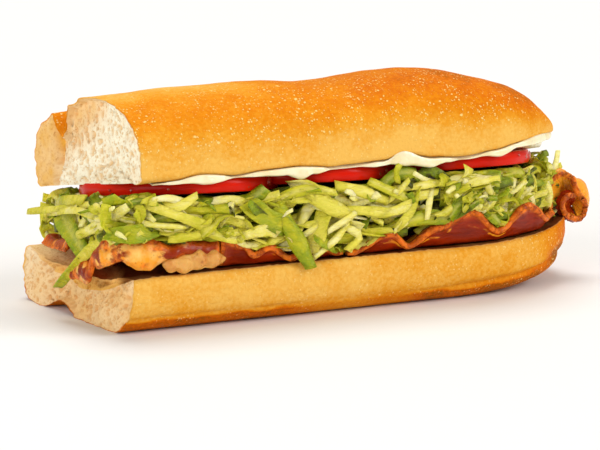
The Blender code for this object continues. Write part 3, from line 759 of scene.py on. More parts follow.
tomato = {
    "radius": 34.5, "centreY": -0.8, "segments": 230, "rimHeight": 4.7,
    # middle x, how far its top lies under the top half, lean in degrees, thickness
    "slices": {"left": (-59.0, 1.2, 2.9, 4.8), "middle": (-12.0, 1.8, 2.4, 4.7),
               "right": (42.5, 2.1, 1.1, 4.7)},
    "skin": (0.66, 0.010, 0.001), "flesh": (0.70, 0.060, 0.018), "gel": (0.72, 0.16, 0.03),
    "pale": (0.80, 0.22, 0.10),
}


# how high the tomato reaches under the top half, in the top half's own frame
def sliceTop(x, y):
    levels = [-3.0]
    for centreX, depth, lean, _ in tomato["slices"].values():
        if (x - centreX) ** 2 + (y - tomato["centreY"]) ** 2 < (tomato["radius"] - 1.5) ** 2:
            levels.append(-depth - (x - centreX) * math.tan(math.radians(lean)))
    return max(levels)


def sliceMatrix(side):
    centreX, depth, lean, thickness = tomato["slices"][side]
    lean = Matrix.Rotation(math.radians(lean), 4, "Y")
    return topMatrix() @ Matrix.Translation((centreX, tomato["centreY"], -depth - 0.5 * thickness)) @ lean


def makeTomatoMaterial(look):
    material, tree, shader, place = startMaterial("tomatoFlesh")
    inside = layerValue(tree, "inside")
    seeds = layerValue(tree, "seeds")
    streaks = mottle(tree, place, Scale=380.0, Detail=4.0, Low=0.3, High=0.7)
    clouds = mottle(tree, place, Scale=70.0, Detail=3.0, Low=0.35, High=0.65)
    skin = mixColour(tree, sums(tree, "MULTIPLY", clouds, 0.12), look["skin"], look["flesh"])
    flesh = mixColour(tree, streaks, look["flesh"], look["pale"])
    flesh = mixColour(tree, seeds, flesh, look["gel"])
    tree.links.new(mixColour(tree, inside, skin, flesh), shader.inputs["Base Color"])
    tree.links.new(remap(tree, inside, 0.0, 1.0, 0.24, 0.36), shader.inputs["Roughness"])
    shader.inputs["Specular IOR Level"].default_value = 0.08
    soaked(shader, 0.05, (0.004, 0.0008, 0.0004))
    coated(shader, 0.06, 0.12)
    bumped(tree, shader, sums(tree, "MULTIPLY", streaks, inside), 0.0003)
    return material


def buildTomatoes(look):
    material = makeTomatoMaterial(look)
    half = 0.5 * look["rimHeight"]
    profile = [(-0.55, -half), (-0.2, -half + 0.12), (0.0, -half * 0.7), (0.22, -half * 0.3), (0.28, 0.0),
               (0.22, half * 0.35), (0.02, half * 0.72), (-0.2, half - 0.12), (-0.55, half)]
    profile = curveThrough(profile, 18)
    for index, side in enumerate(look["slices"]):
        angles = np.linspace(0.0, 2.0 * math.pi, look["segments"], endpoint=False)
        uneven = (0.35 * np.sin(3.0 * angles + index) + 0.2 * np.sin(5.0 * angles)
                  + 0.08 * np.sin(17.0 * angles + index))
        spokes = 5 + index                     # seed chambers round the core
        rings, inside, seeds = [], [], []
        shares = np.linspace(0.03, 0.96, 32)
        for level, sign in ((-half, -1.0), (half, 1.0)):
            disc = []
            for share in shares if sign < 0 else shares[::-1]:
                radius = (look["radius"] - 0.85 + uneven) * share
                chamber = smooth(0.25, 0.75, np.abs(np.cos(0.5 * spokes * angles + index)))
                chamber = chamber * hump(0.6, 0.28, share)
                sag = sign * (-0.5 * chamber)
                disc.append(np.column_stack([radius * np.cos(angles), radius * np.sin(angles), level + sag]))
                inside.append(np.full(len(angles), 1.0 - smooth(0.93, 0.96, share)))
                seeds.append(chamber)
            if sign < 0:
                rings += disc
                for out, z in profile:
                    radius = look["radius"] - 0.3 + out + uneven
                    rings.append(np.column_stack([radius * np.cos(angles), radius * np.sin(angles),
                                                  np.full(len(angles), z)]))
                    inside.append(np.zeros(len(angles)))
                    seeds.append(np.zeros(len(angles)))
            else:
                rings += disc
        grid = np.array(rings)
        count = grid.shape[1]
        faces = cappedFaces(len(grid), count)
        points = carried(grid.reshape(-1, 3), sliceMatrix(side))
        piece = makePiece("tomato" + side.title(), points, faces, material,
                          {"inside": np.array(inside), "seeds": np.array(seeds)})
        standsFor(piece, "tomato", "tomato_" + side)


def buildDrops(look):              # water drops on the cut tomato edges
    rng = random.Random(7)
    material, tree, shader, place = startMaterial("waterDrop")
    deep = mottle(tree, place, Scale=500.0, Low=0.3, High=0.7)
    colour = mixColour(tree, deep, (0.40, 0.010, 0.004), (0.58, 0.05, 0.02))
    tree.links.new(colour, shader.inputs["Base Color"])
    shader.inputs["Roughness"].default_value = 0.03
    shader.inputs["Coat Weight"].default_value = 1.0
    points, faces = [], []
    # which slice, angle round it, height on its edge, size
    spots = [(0, -52.0, 0.3, 1.5), (1, -57.0, 0.4, 0.9), (2, -36.0, -0.2, 1.2), (2, -31.5, 0.5, 1.3),
             (1, -64.0, -0.6, 0.6), (2, -47.0, 0.1, 0.7), (0, -120.0, -0.4, 0.7), (2, -58.0, 0.8, 0.5)]
    spots += [(rng.randrange(3), rng.uniform(-170, 170), rng.uniform(-1.2, 1.2), rng.uniform(0.35, 0.7))
              for _ in range(16)]
    for index, angle, height, size in spots:
        matrix = sliceMatrix(list(look["slices"])[index])
        a = math.radians(angle)
        out = Vector((math.cos(a), math.sin(a), 0.0))
        side = Vector((-math.sin(a), math.cos(a), 0.0))
        base = out * (look["radius"] - 0.05) + Vector((0.0, 0.0, height))
        first = len(points)
        rows, columns = 5, 14
        for row in range(rows + 1):
            t = 0.5 * math.pi * row / rows
            for step in range(columns):
                turn = 2.0 * math.pi * step / columns
                across = size * math.cos(t) * (side * math.cos(turn)
                                               + Vector((0, 0, 1.0)) * math.sin(turn) * 1.1)
                points.append(matrix @ (base + across + out * size * 0.42 * math.sin(t)))
        faces += [[first + i for i in face] for face in gridFaces(rows + 1, columns, True)]
        faces.append([first + i for i in range(columns)])
    piece = makePiece("tomatoDrops", np.array([list(p) for p in points]), faces, material)
    standsFor(piece, "tomato")


buildTomatoes(tomato)
buildDrops(tomato)
buildMayo(mayo)
print("stage: tomato and mayonnaise")


# ---- bacon

bacon = {
    "meat": (0.36, 0.026, 0.002), "darkMeat": (0.19, 0.010, 0.001), "fat": (0.95, 0.36, 0.018),
    "paleFat": (0.98, 0.62, 0.18), "crisp": (0.90, 0.20, 0.011), "char": (0.26, 0.030, 0.003),
    "thickness": 1.3, "rimThickness": 2.1,
}

lowSection = ((-12, 1.0, 0.0), (-5, 0.75, 0.0), (2, 0.5, 0.0), (10, 0.6, 0.0))

# path: middle line across the roll, wave: height of the front rim, section: across, share of the height, lift
strips = {
    "baconFrontMiddle": {
        "node": "bacon_front_middle", "seed": 2, "columns": 34, "fatness": 0.5,
        "path": ((-60, -25), (-14, -25)),
        "wave": ((-60, 28.5), (-52, 26.5), (-48, 22.5), (-42, 25.0), (-34, 20.5), (-24, 23.5), (-14, 20.5)),
        "section": lowSection,
        "front": ((-9.0, 0.0), (-10.6, 0.45), (-11.7, 0.86)),
    },
    "baconBackLeft": {
        "node": "bacon_back_left", "seed": 3, "columns": 34, "fatness": 0.45,
        "path": ((-100, 16), (-34, 18)),
        "wave": ((-100, 21.5), (-97, 25.5), (-88, 21.5), (-74, 27.0), (-62, 21.5), (-48, 26.5), (-34, 22.0)),
        "section": lowSection,
    },
    "baconBackRight": {
        "node": "bacon_back_right", "seed": 4, "columns": 34, "fatness": 0.45,
        "path": ((-30, 24), (30, 24), (66, 12)),
        "wave": ((-30, 22.0), (-16, 27.0), (-4, 21.5), (12, 27.5), (26, 22.0), (42, 28.5), (56, 23.0),
                 (66, 25.0)),
        "section": lowSection,
    },
    "baconFrontRight": {
        "node": "bacon_front_right", "seed": 5, "columns": 40, "fatness": 0.5,
        "path": ((-12, -24), (50, -24), (66, -21), (80, -12), (92, -6)),
        "wave": ((-12, 19.8), (4.5, 26.0), (12, 20.5), (23, 26.5), (37, 32.0), (48, 23.3), (62, 31.0),
                 (73, 24.6), (80, 25.5)),
        "section": ((-13, 1.0, 0.0), (-8, 0.8, 0.0), (-1, 0.5, 0.0), (6, 0.3, 0.0), (12, 0.25, 0.0)),
        "front": ((-10.0, 0.0), (-11.6, 0.45), (-12.7, 0.86)),
        "stop": 78.0,
    },
}


def stripHeight(strip, x, across):
    places, shares, lifts = np.array(strip["section"]).T
    share = np.interp(across, places, shares)
    floor = bottomTop(x) + 0.3
    raised = floor + (through(strip["wave"], x) - floor) * share + np.interp(across, places, lifts)
    return np.maximum(floor, raised)


def makeBaconMaterial(look):
    material, tree, shader, place = startMaterial("friedBacon")
    fat = layerValue(tree, "fat")
    rim = layerValue(tree, "rim")
    streaks = mottle(tree, place, Scale=260.0, Stretch=(0.35, 1.0, 1.0), Detail=5.0, Low=0.3, High=0.7)
    blotches = mottle(tree, place, Scale=150.0, Detail=3.0, Low=0.38, High=0.62)
    meat = mixColour(tree, streaks, look["darkMeat"], look["meat"])
    pale = mixColour(tree, blotches, look["fat"], look["paleFat"])
    pale = mixColour(tree, layerValue(tree, "amber"), pale, look["fat"])
    share = sums(tree, "ADD", fat, remap(tree, streaks, 0.0, 1.0, -0.22, 0.22))
    flesh = mixColour(tree, remap(tree, share, 0.38, 0.62), meat, pale)
    pepper = speckle(tree, place, Scale=900.0, Share=0.30, Size=0.40, Warp=0.0007)
    scorch = mottle(tree, place, Scale=420.0, Detail=4.0, Low=0.42, High=0.62)
    crisp = mixColour(tree, scorch, look["crisp"], look["char"])
    crisp = mixColour(tree, remap(tree, blotches, 0.0, 1.0, 0.15, 0.55), crisp, look["crisp"])
    flesh = mixColour(tree, sums(tree, "MULTIPLY", pepper, 0.55), flesh, look["char"])
    colour = mixColour(tree, rim, flesh, crisp)
    tree.links.new(colour, shader.inputs["Base Color"])
    tree.links.new(remap(tree, rim, 0.0, 1.0, 0.26, 0.42), shader.inputs["Roughness"])
    shader.inputs["Specular IOR Level"].default_value = 0.13
    soaked(shader, 0.2, (0.003, 0.0010, 0.0004))
    coated(shader, 0.12, 0.18)
    height = sums(tree, "ADD", sums(tree, "MULTIPLY", streaks, 0.5), sums(tree, "MULTIPLY", scorch, rim))
    bumped(tree, shader, height, 0.0005)
    return material


def stripGrid(strip):
    start = strip["wave"][0][0]
    stop = strip.get("stop", strip["wave"][-1][0])
    rows = int((stop - start) / 0.55)
    columns = strip["columns"]
    profile = list(strip.get("front", ())) + [row[:2] for row in strip["section"]]
    fineCount = 120
    fine = curveThrough(np.array(profile) * (1.0, 9.0), fineCount) * (1.0, 1.0 / 9.0)
    v = np.linspace(0.0, 1.0, columns)
    rimAt = np.argmax(fine[:, 1]) / (fineCount - 1)
    line = np.column_stack([np.interp(v, np.linspace(0.0, 1.0, fineCount), fine[:, i]) for i in range(2)])
    grid = []
    for x in np.linspace(start, stop, rows):
        floor = bottomTop(x) + 0.3 + 0.5 * bacon["thickness"]
        rise = through(strip["wave"], x) - floor + 0.5 * bacon["thickness"]
        y = through(strip["path"], x) + line[:, 0]
        z = floor + rise * np.clip(line[:, 1], 0.0, 1.1)
        grid.append(np.column_stack([np.full(columns, x), y, z]))
    return np.array(grid), v, rimAt


def dressStrip(grid, v, rimAt, seed, fatness):
    # small wrinkles and an uneven, beaded front rim
    near = np.exp(-((v - rimAt) / 0.07) ** 2)[None, :]
    grid = grid.copy()
    grid[..., 1] += 0.9 * lumps(grid * (1.0, 0.3, 0.3), 7.0, seed) * np.exp(-(v / 0.5) ** 2)[None, :]
    grid[..., 2] += 0.45 * lumps(grid, 5.0, seed + 1) * smooth(0.0, 1.5, grid[..., 2] - 19.8)
    thickness = bacon["thickness"] + (bacon["rimThickness"] - bacon["thickness"]) * near
    beads = 0.30 * lumps(grid, 2.2, seed + 2) * (0.35 + 0.65 * near)
    thickness = thickness * (1.0 + beads + 0.12 * lumps(grid, 6.0, seed + 3))
    wander = v[None, :] - rimAt + 0.05 * lumps(grid, 14.0, seed + 4) + 0.03 * lumps(grid, 4.0, seed + 5)
    streaky = 0.35 + 0.65 * smooth(-0.1, 0.4, lumps(grid * (1.0, 0.3, 0.3), 15.0, seed + 8))
    fat = 0.9 * hump(0.13, 0.10, wander) + 0.8 * hump(0.62, 0.14, wander)
    fat = fat + 0.75 * streaky * hump(-0.13, 0.07, wander)
    fat = np.clip(fat + (fatness - 0.5), 0.0, 1.0)
    rim = np.exp(-((v - rimAt) / 0.055) ** 4)[None, :] + np.exp(-((1.0 - v) / 0.05) ** 4)[None, :]
    rim = np.clip(rim * (1.0 + 0.5 * lumps(grid, 3.0, seed + 6)), 0.0, 1.0)
    return grid, thickness, fat, rim


# the curled end of the long strip: x, y, height of its beaded rim, then of its inner edge
curl = [
    ((82.6, -17.0, 28.0), (90.0, -9.0, 27.5)), ((81.6, -17.5, 32.0), (89.8, -8.5, 30.2)),
    ((82.6, -17.5, 35.6), (90.6, -8.0, 32.0)), ((85.4, -17.0, 38.0), (92.0, -8.0, 33.0)),
    ((89.2, -16.5, 38.2), (94.2, -8.0, 33.2)), ((92.6, -16.5, 36.2), (96.5, -9.5, 33.8)),
    ((93.4, -17.0, 33.2), (99.0, -10.5, 34.6)), ((95.0, -17.5, 30.4), (101.6, -11.0, 32.2)),
    ((97.4, -17.5, 27.2), (101.4, -11.0, 28.0)), ((97.6, -17.0, 23.6), (98.6, -10.0, 24.6)),
    ((95.4, -17.5, 21.4), (95.6, -12.0, 24.4)), ((91.4, -18.0, 22.0), (94.2, -12.5, 24.8)),
    ((87.8, -18.5, 24.6), (93.6, -12.5, 25.2)), ((86.6, -19.0, 28.2), (93.6, -12.5, 25.8)),
    ((89.0, -19.0, 30.8), (94.0, -12.5, 26.0)), ((92.6, -18.5, 30.4), (94.6, -12.5, 25.8)),
]
curlSteps = 190
# first and last step round the curl, then the point that the lining closes on
curlFloors = {"cup": (0, 128, (95.5, -9.0, 29.5)), "inner": (128, curlSteps, (94.0, -13.0, 25.3))}


def curlGrid(v, rimAt):
    share = np.maximum(0.0, (v - rimAt) / (1.0 - rimAt))
    hem = np.maximum(0.0, rimAt - v) / max(rimAt, 0.001)
    rim = curveThrough([front for front, _ in curl], curlSteps)
    inner = curveThrough([back for _, back in curl], curlSteps)
    grid = rim[:, None, :] + (inner - rim)[:, None, :] * share[None, :, None]
    grid[..., 1] += 2.4 * hem[None, :]
    outward = rim - rim.mean(axis=0)
    outward[:, 1] = 0.0
    outward /= np.linalg.norm(outward, axis=1, keepdims=True)
    grid += outward[:, None, :] * (1.3 * np.sin(math.pi * share) + 1.1 * hem)[None, :, None]
    ripple = np.array([0.5 * noise.noise(Vector((0.35 * i, 2.0, 0.0)))
                       + 0.3 * noise.noise(Vector((0.9 * i, 5.0, 0.0))) for i in range(curlSteps)])
    grid += outward[:, None, :] * (ripple[:, None] * (1.0 - share[None, :]) ** 2)[..., None]
    return grid


def finishStrip(name, node, grid, thickness, fat, rim, amber, material, linings=()):
    ends = np.minimum(np.arange(len(grid)), np.arange(len(grid))[::-1])[:, None]
    rim = np.maximum(rim, np.exp(-(ends / 3.0) ** 2))
    thickness = thickness * (0.45 + 0.55 * smooth(0.0, 4.0, ends))
    points, faces = sheetBody(grid, thickness)
    # the second face of each sheet, under the strips, gets three quarters of the fat and so is drawn darker:
    # painted shade
    layers = {"fat": np.concatenate([fat.ravel(), 0.75 * fat.ravel()]),
              "rim": np.concatenate([rim.ravel()] * 2),
              "amber": np.concatenate([amber.ravel()] * 2)}
    for place, lining in enumerate(linings):
        more, moreFaces = sheetBody(lining, np.full(lining.shape[:2], 0.8))
        faces = list(faces) + [[i + len(points) for i in face] for face in moreFaces]
        points = np.concatenate([points, more])
        deep = np.tile(np.linspace(0.0, 1.0, lining.shape[1]), 2 * len(lining))
        added = {"fat": 0.95 - 0.5 * deep**2 - 0.6 * place, "rim": deep * 0.0, "amber": 1.0 + deep * 0.0}
        layers = {layer: np.concatenate([values, added[layer]]) for layer, values in layers.items()}
    piece = makePiece(name, points, faces, material, layers)
    standsFor(piece, "bacon", node)


def buildStrip(name, strip, material):
    grid, v, rimAt = stripGrid(strip)
    straight = len(grid)
    linings = []
    if "stop" in strip:
        curled = curlGrid(v, rimAt)
        reach = np.linspace(0.0, 1.0, 14)[None, :, None]
        for first, last, floor in curlFloors.values():
            mouth = curled[first:last, int(rimAt * (len(v) - 1)) + 2]
            linings.append(mouth[:, None, :] * (1.0 - reach) + np.array(floor) * reach)
        first, last = grid[-1], curled[0]
        bridge = [first + (last - first) * t for t in smooth(0.0, 1.0, np.linspace(0.0, 1.0, 11))[1:-1]]
        grid = np.concatenate([grid, np.array(bridge), curled])
    grid, thickness, fat, rim = dressStrip(grid, v, rimAt, strip["seed"] * 10, strip["fatness"])
    amber = np.broadcast_to(smooth(0.02, 0.1, np.abs(v - rimAt))[None, :], fat.shape).copy()
    if "stop" in strip:
        # the cup is nearly all amber fat, the fold inside it is clear red meat
        step = np.arange(len(grid))[:, None] - straight - 10
        cup = smooth(0.0, 12.0, step) * (1.0 - smooth(105.0, 122.0, step))
        bowl = smooth(112.0, 128.0, step)
        meaty = bowl * (0.25 + 0.5 * smooth(0.7, 1.0, v)[None, :])
        fat = fat * (1.0 - cup) * (1.0 - bowl) + cup * (0.95 - 0.25 * fat) + meaty
        plain = np.maximum(bowl, 1.0 - smooth(40.0, 60.0, step) * cup)
        rim = rim * (1.0 - 0.6 * smooth(0.5, 1.0, v)[None, :] * plain)
        amber = np.maximum(amber, cup)
    finishStrip(name, strip["node"], grid, thickness, fat, rim, amber, material, linings)


# the strip over the front left corner: x, y and height of its top fold, height of its hanging edge, how pale
curtain = [
    (-101.5, -7.0, 17.2, 15.0, 0.3), (-100.5, -11.0, 21.0, 16.0, 0.5), (-100.0, -16.0, 22.8, 15.8, 0.6),
    (-99.8, -20.0, 21.4, 14.6, 0.4), (-99.6, -24.0, 26.5, 18.5, 0.1), (-98.4, -29.5, 30.8, 22.5, 0.2),
    (-95.6, -34.5, 31.6, 21.8, 0.7), (-92.2, -36.4, 30.6, 23.8, 0.7), (-90.2, -36.8, 30.2, 25.8, 0.5),
    (-87.4, -37.0, 30.4, 22.6, 1.0), (-83.6, -37.0, 30.2, 22.0, 1.0), (-80.4, -36.8, 28.6, 24.6, 0.6),
    (-77.6, -36.6, 28.4, 25.2, 0.2), (-73.6, -36.4, 30.0, 26.2, 0.2), (-69.6, -36.2, 28.8, 25.2, 0.1),
    (-65.4, -36.0, 28.4, 24.2, 0.1), (-60.8, -36.0, 29.4, 24.6, 0.2),
]


def buildCurtain(material):
    steps, columns = 170, 44
    line = curveThrough([row[:3] for row in curtain], steps)
    runs = np.linspace(0.0, len(curtain) - 1.0, steps)
    low = np.interp(runs, np.arange(len(curtain)), [row[3] for row in curtain])
    pale = np.interp(runs, np.arange(len(curtain)), [row[4] for row in curtain])
    low = 0.25 * np.roll(low, 1) + 0.5 * low + 0.25 * np.roll(low, -1)
    low[0], low[-1] = curtain[0][3], curtain[-1][3]
    ahead = np.gradient(line, axis=0)
    outward = np.column_stack([ahead[:, 1], -ahead[:, 0], np.zeros(len(line))])
    outward /= np.linalg.norm(outward, axis=1, keepdims=True)
    outward = 0.5 * outward + np.array([-0.12, -0.5, 0.0])
    outward /= np.linalg.norm(outward, axis=1, keepdims=True)
    # how far out, share of the way down the hanging face, drop behind the fold
    section = [(1.2, 1.0, 0.0), (2.2, 0.72, 0.0), (1.9, 0.40, 0.0), (0.9, 0.10, 0.0),
               (-0.8, -0.06, 0.0), (-3.5, 0.0, 0.4), (-8.0, 0.0, 1.6), (-13.0, 0.0, 4.2), (-18.0, 0.0, 7.0)]
    section = curveThrough(np.array(section) * (1.0, 7.0, 1.0), columns) * (1.0, 1.0 / 7.0, 1.0)
    v = np.linspace(0.0, 1.0, columns)
    grid = line[:, None, :] + outward[:, None, :] * section[None, :, 0, None]
    drop = (line[:, 2] - low)[:, None] * section[None, :, 1] + section[None, :, 2]
    grid[..., 2] = np.maximum(line[:, 2, None] - drop, 15.2 + 4.8 * smooth(-97.0, -92.0, grid[..., 0]))
    grid = grid + (0.7 * lumps(grid, 4.5, 75) + 0.4 * lumps(grid, 2.2, 71))[..., None] * outward[:, None, :]
    edge = np.exp(-(v / 0.07) ** 2)[None, :]
    fold = np.exp(-((v - 0.36) / 0.13) ** 2)[None, :]
    thickness = 1.5 * (1.0 + 0.3 * lumps(grid, 2.2, 72)) + 0.4 * fold
    fat = np.clip(pale[:, None] * (1.0 - smooth(0.22, 0.34, v))[None, :] + 0.35 * smooth(0.5, 0.8, v)[None, :]
                  + 0.15 * lumps(grid, 6.0, 73), 0.0, 1.0)
    rim = 0.8 * edge * (1.0 - 0.6 * pale[:, None]) + 0.8 * fold + 0.5 * lumps(grid, 3.5, 74) * fold
    rim = np.clip(rim, 0.0, 1.0)
    scorched = 0.9 * smooth(0.18, 0.42, lumps(grid, 4.0, 76)) * (1.0 - smooth(0.4, 0.5, v))[None, :]
    rim = np.maximum(rim, scorched)
    amber = np.clip(0.12 + 0.6 * smooth(0.2, 0.5, v)[None, :] + 0.5 * lumps(grid, 3.0, 77), 0.0, 1.0)
    finishStrip("baconFrontLeft", "bacon_front_left", grid, thickness, fat, rim, amber, material)


fatEnd = {"length": 12.4, "depth": 3.0, "height": 5.0, "place": (-70.2, -38.0, 23.3),
          "colour": (0.78, 0.41, 0.10), "blush": (0.58, 0.19, 0.03), "fleck": (0.35, 0.09, 0.015)}


def buildFatEnd(look):
    material, tree, shader, place = startMaterial("paleFat")
    clouds = mottle(tree, place, Scale=160.0, Detail=4.0, Low=0.4, High=0.75)
    flecks = speckle(tree, place, Scale=650.0, Share=0.25, Size=0.35, Warp=0.0008)
    colour = mixColour(tree, clouds, look["colour"], look["blush"])
    colour = mixColour(tree, sums(tree, "MULTIPLY", flecks, 0.8), colour, look["fleck"])
    tree.links.new(colour, shader.inputs["Base Color"])
    tree.links.new(remap(tree, clouds, 0.0, 1.0, 0.22, 0.4), shader.inputs["Roughness"])
    soaked(shader, 0.3, (0.003, 0.0015, 0.0008))
    shader.inputs["Specular IOR Level"].default_value = 0.2
    coated(shader, 0.15, 0.1)
    bumped(tree, shader, mottle(tree, place, Scale=300.0, Detail=4.0, Low=0.2, High=0.8), 0.0006)
    ball = bmesh.new()
    bmesh.ops.create_icosphere(ball, subdivisions=6, radius=1.0)
    knobs = [(-0.78, -0.35, 0.85), (-0.36, -0.3, 1.0), (0.10, 0.3, 1.05), (0.58, 0.2, 1.0)]
    for vert in ball.verts:
        x, y, z = vert.co
        swell = max(height * math.exp(-((x - cx) / 0.19) ** 2 - ((z - cz) / 0.9) ** 2)
                    for cx, cz, height in knobs)
        crack = noise.noise(Vector((x * 5.0, y * 2.0, z * 3.0)))
        factor = 0.50 + 0.54 * swell + 0.10 * crack
        vert.co = (look["length"] * x * (0.93 + 0.07 * swell), look["depth"] * y * factor * 1.25,
                   look["height"] * z * factor)
    bmesh.ops.scale(ball, vec=(mm, mm, mm), verts=ball.verts)
    bmesh.ops.translate(ball, vec=Vector(look["place"]) * mm, verts=ball.verts)
    mesh = bpy.data.meshes.new("baconFatEnd")
    ball.to_mesh(mesh)
    ball.free()
    mesh.shade_smooth()
    mesh.materials.append(material)
    piece = bpy.data.objects.new("baconFatEnd", mesh)
    bpy.context.scene.collection.objects.link(piece)
    standsFor(piece, "bacon_fat", "bacon_fat_end")


baconMaterial = makeBaconMaterial(bacon)
for name, strip in strips.items():
    buildStrip(name, strip, baconMaterial)
buildCurtain(baconMaterial)
buildFatEnd(fatEnd)
print("stage: bacon")


# ---- lettuce

lettuce = {
    # from cream through yellow-green to dark green; the near-black end is painted shade
    "stops": [(0.0, (0.97, 0.92, 0.44)), (0.3, (0.81, 0.72, 0.09)), (0.55, (0.54, 0.51, 0.014)),
              (0.8, (0.24, 0.32, 0.004)), (1.0, (0.060, 0.060, 0.001))],
    "vein": (0.92, 0.86, 0.34),
    "leftX": -99.0, "rightX": 84.0,
    # x, y of the heap's front edge
    "front": ((-104, -30.0), (-96, -39.5), (44, -39.5), (60, -32.0), (74, -24.0), (84, -16.0), (92, -8.0)),
}


def makeLettuceMaterial(look):
    material, tree, shader, place = startMaterial("shreddedLettuce")
    green = layerValue(tree, "green")
    clouds = mottle(tree, place, Scale=140.0, Detail=4.0, Low=0.35, High=0.65)
    fibres = mottle(tree, place, Scale=700.0, Stretch=(0.3, 1.0, 1.0), Detail=3.0, Low=0.35, High=0.65)
    shade = sums(tree, "ADD", green, remap(tree, clouds, 0.0, 1.0, -0.07, 0.07))
    shade = sums(tree, "ADD", shade, remap(tree, fibres, 0.0, 1.0, -0.04, 0.04))
    colour = colourRamp(tree, shade, look["stops"])
    colour = mixColour(tree, layerValue(tree, "vein"), colour, look["vein"])
    tree.links.new(colour, shader.inputs["Base Color"])
    tree.links.new(remap(tree, clouds, 0.0, 1.0, 0.32, 0.46), shader.inputs["Roughness"])
    soaked(shader, 0.3, (0.002, 0.0025, 0.0006))
    shader.inputs["Specular IOR Level"].default_value = 0.25
    bumped(tree, shader, sums(tree, "ADD", fibres, clouds), 0.0003)
    return material


def ceilingAt(x, y):               # the underside of the tomato or of the top half over a point
    flat = topHalf["place"][2] - y * math.sin(math.radians(-topHalf["tilt"]))
    flat -= x * math.sin(math.radians(topHalf["rise"]))
    lowest = flat - 2.5 + float(topEndLift(x))
    for centreX, depth, lean, thickness in tomato["slices"].values():
        if (x - centreX) ** 2 + (0.82 * (y - tomato["centreY"])) ** 2 < (tomato["radius"] - 1.0) ** 2:
            lowest = min(lowest, flat - depth - thickness - (x - centreX) * math.tan(math.radians(lean)))
    return lowest - 2.6 * float(smooth(12.0, 26.0, -y)) - 4.5 * float(smooth(64.0, 76.0, x))


def floorAt(x, y):                 # the top of the bottom half, or of the bacon on it
    highest = float(bottomTop(x)) + 0.4
    if x < -60.0 and y < -14.0:
        highest = 31.0 - 0.35 * max(0.0, y + 34.0)
    for strip in strips.values():
        if not strip["wave"][0][0] - 1.0 < x < strip.get("stop", strip["wave"][-1][0]) + 1.0:
            continue
        across = y - float(through(strip["path"], x))
        if strip["section"][0][0] - 9.0 < across < strip["section"][-1][0] + 0.5:
            highest = max(highest, float(stripHeight(strip, x, across)) + bacon["thickness"] + 0.3)
    return highest


def frontLimit(x):
    return float(through(lettuce["front"], x))


class Shreds:                      # collects many shreds into one piece
    def __init__(self):
        self.points, self.faces, self.green, self.vein = [], [], [], []
        self.count = 0

    def add(self, path, width, facing, rng, green=(0.3, 0.5), thick=0.7, roll=0.0, twist=0.0, cup=0.2,
            ruffle=0.3, rib=0.0, taper=0.25):
        length = float(np.sum(np.linalg.norm(np.diff(path, axis=0), axis=1)))
        rows = max(7, min(22, int(length / 1.7)))
        columns = 7 if width > 3.0 else 5
        line = curveThrough(path, rows)
        tangent = np.gradient(line, axis=0)
        tangent /= np.linalg.norm(tangent, axis=1, keepdims=True)
        facing = np.asarray(facing, float)
        normal = facing - (tangent @ facing)[:, None] * tangent
        normal /= np.maximum(np.linalg.norm(normal, axis=1, keepdims=True), 1e-6)
        side = np.cross(tangent, normal)
        s = np.linspace(0.0, 1.0, rows)
        turn = (roll + twist * (s - 0.5))[:, None]
        normal, side = (normal * np.cos(turn) + side * np.sin(turn),
                        side * np.cos(turn) - normal * np.sin(turn))
        v = np.linspace(-1.0, 1.0, columns)
        phase = rng.uniform(0.0, 6.3)
        waves = rng.uniform(1.0, 2.6)
        narrow = 1.0 - taper * np.abs(2.0 * s - 1.0) ** 4
        edgeNoise = 1.0 + 0.14 * np.sin(s * rng.uniform(5, 11) + phase)
        halfWidth = 0.5 * width * narrow * edgeNoise
        slantA, slantB = rng.uniform(-0.6, 0.6), rng.uniform(-0.6, 0.6)
        slant = slantA * (1.0 - smooth(0.0, 0.16, s)) + slantB * smooth(0.84, 1.0, s)
        endPull = slant[:, None] * halfWidth[:, None]
        grid = (line[:, None, :] + side[:, None, :] * (halfWidth[:, None] * v[None, :])[..., None]
                + tangent[:, None, :] * (endPull * v[None, :])[..., None])
        bend = -cup * width * 0.5 * (v**2)[None, :] * np.ones((rows, 1))
        long = np.sin(waves * 6.3 * s + phase)[:, None] * v[None, :]
        short = 0.6 * np.sin(1.7 * waves * 6.3 * s + 2.0 * phase)[:, None] * (v**2)[None, :]
        bend = bend + ruffle * 0.4 * (long + short)
        grid = grid + normal[:, None, :] * bend[..., None]
        thickness = np.full((rows, columns), thick) * (1.0 - 0.5 * np.abs(v[None, :]) ** 3)
        if rib:
            thickness = thickness + rib * np.exp(-((v - 0.1) / 0.35) ** 2)[None, :]
        points, faces = sheetBody(grid, thickness)
        self.points.append(points)
        self.faces += [[i + self.count for i in face] for face in faces]
        self.count += len(points)
        shade = green[0] + (green[1] - green[0]) * s[:, None] + 0.10 * np.abs(v[None, :]) * np.ones((rows, 1))
        vein = np.exp(-((v + 0.15) / 0.16) ** 2)[None, :] * np.ones((rows, 1))
        vein = vein * (0.55 if rng.random() < 0.35 else 0.0)
        self.green.append(np.concatenate([shade.ravel()] * 2))
        self.vein.append(np.concatenate([vein.ravel()] * 2))

    def build(self, name, material):
        layers = {"green": np.concatenate(self.green), "vein": np.concatenate(self.vein)}
        return makePiece(name, np.concatenate(self.points), self.faces, material, layers)


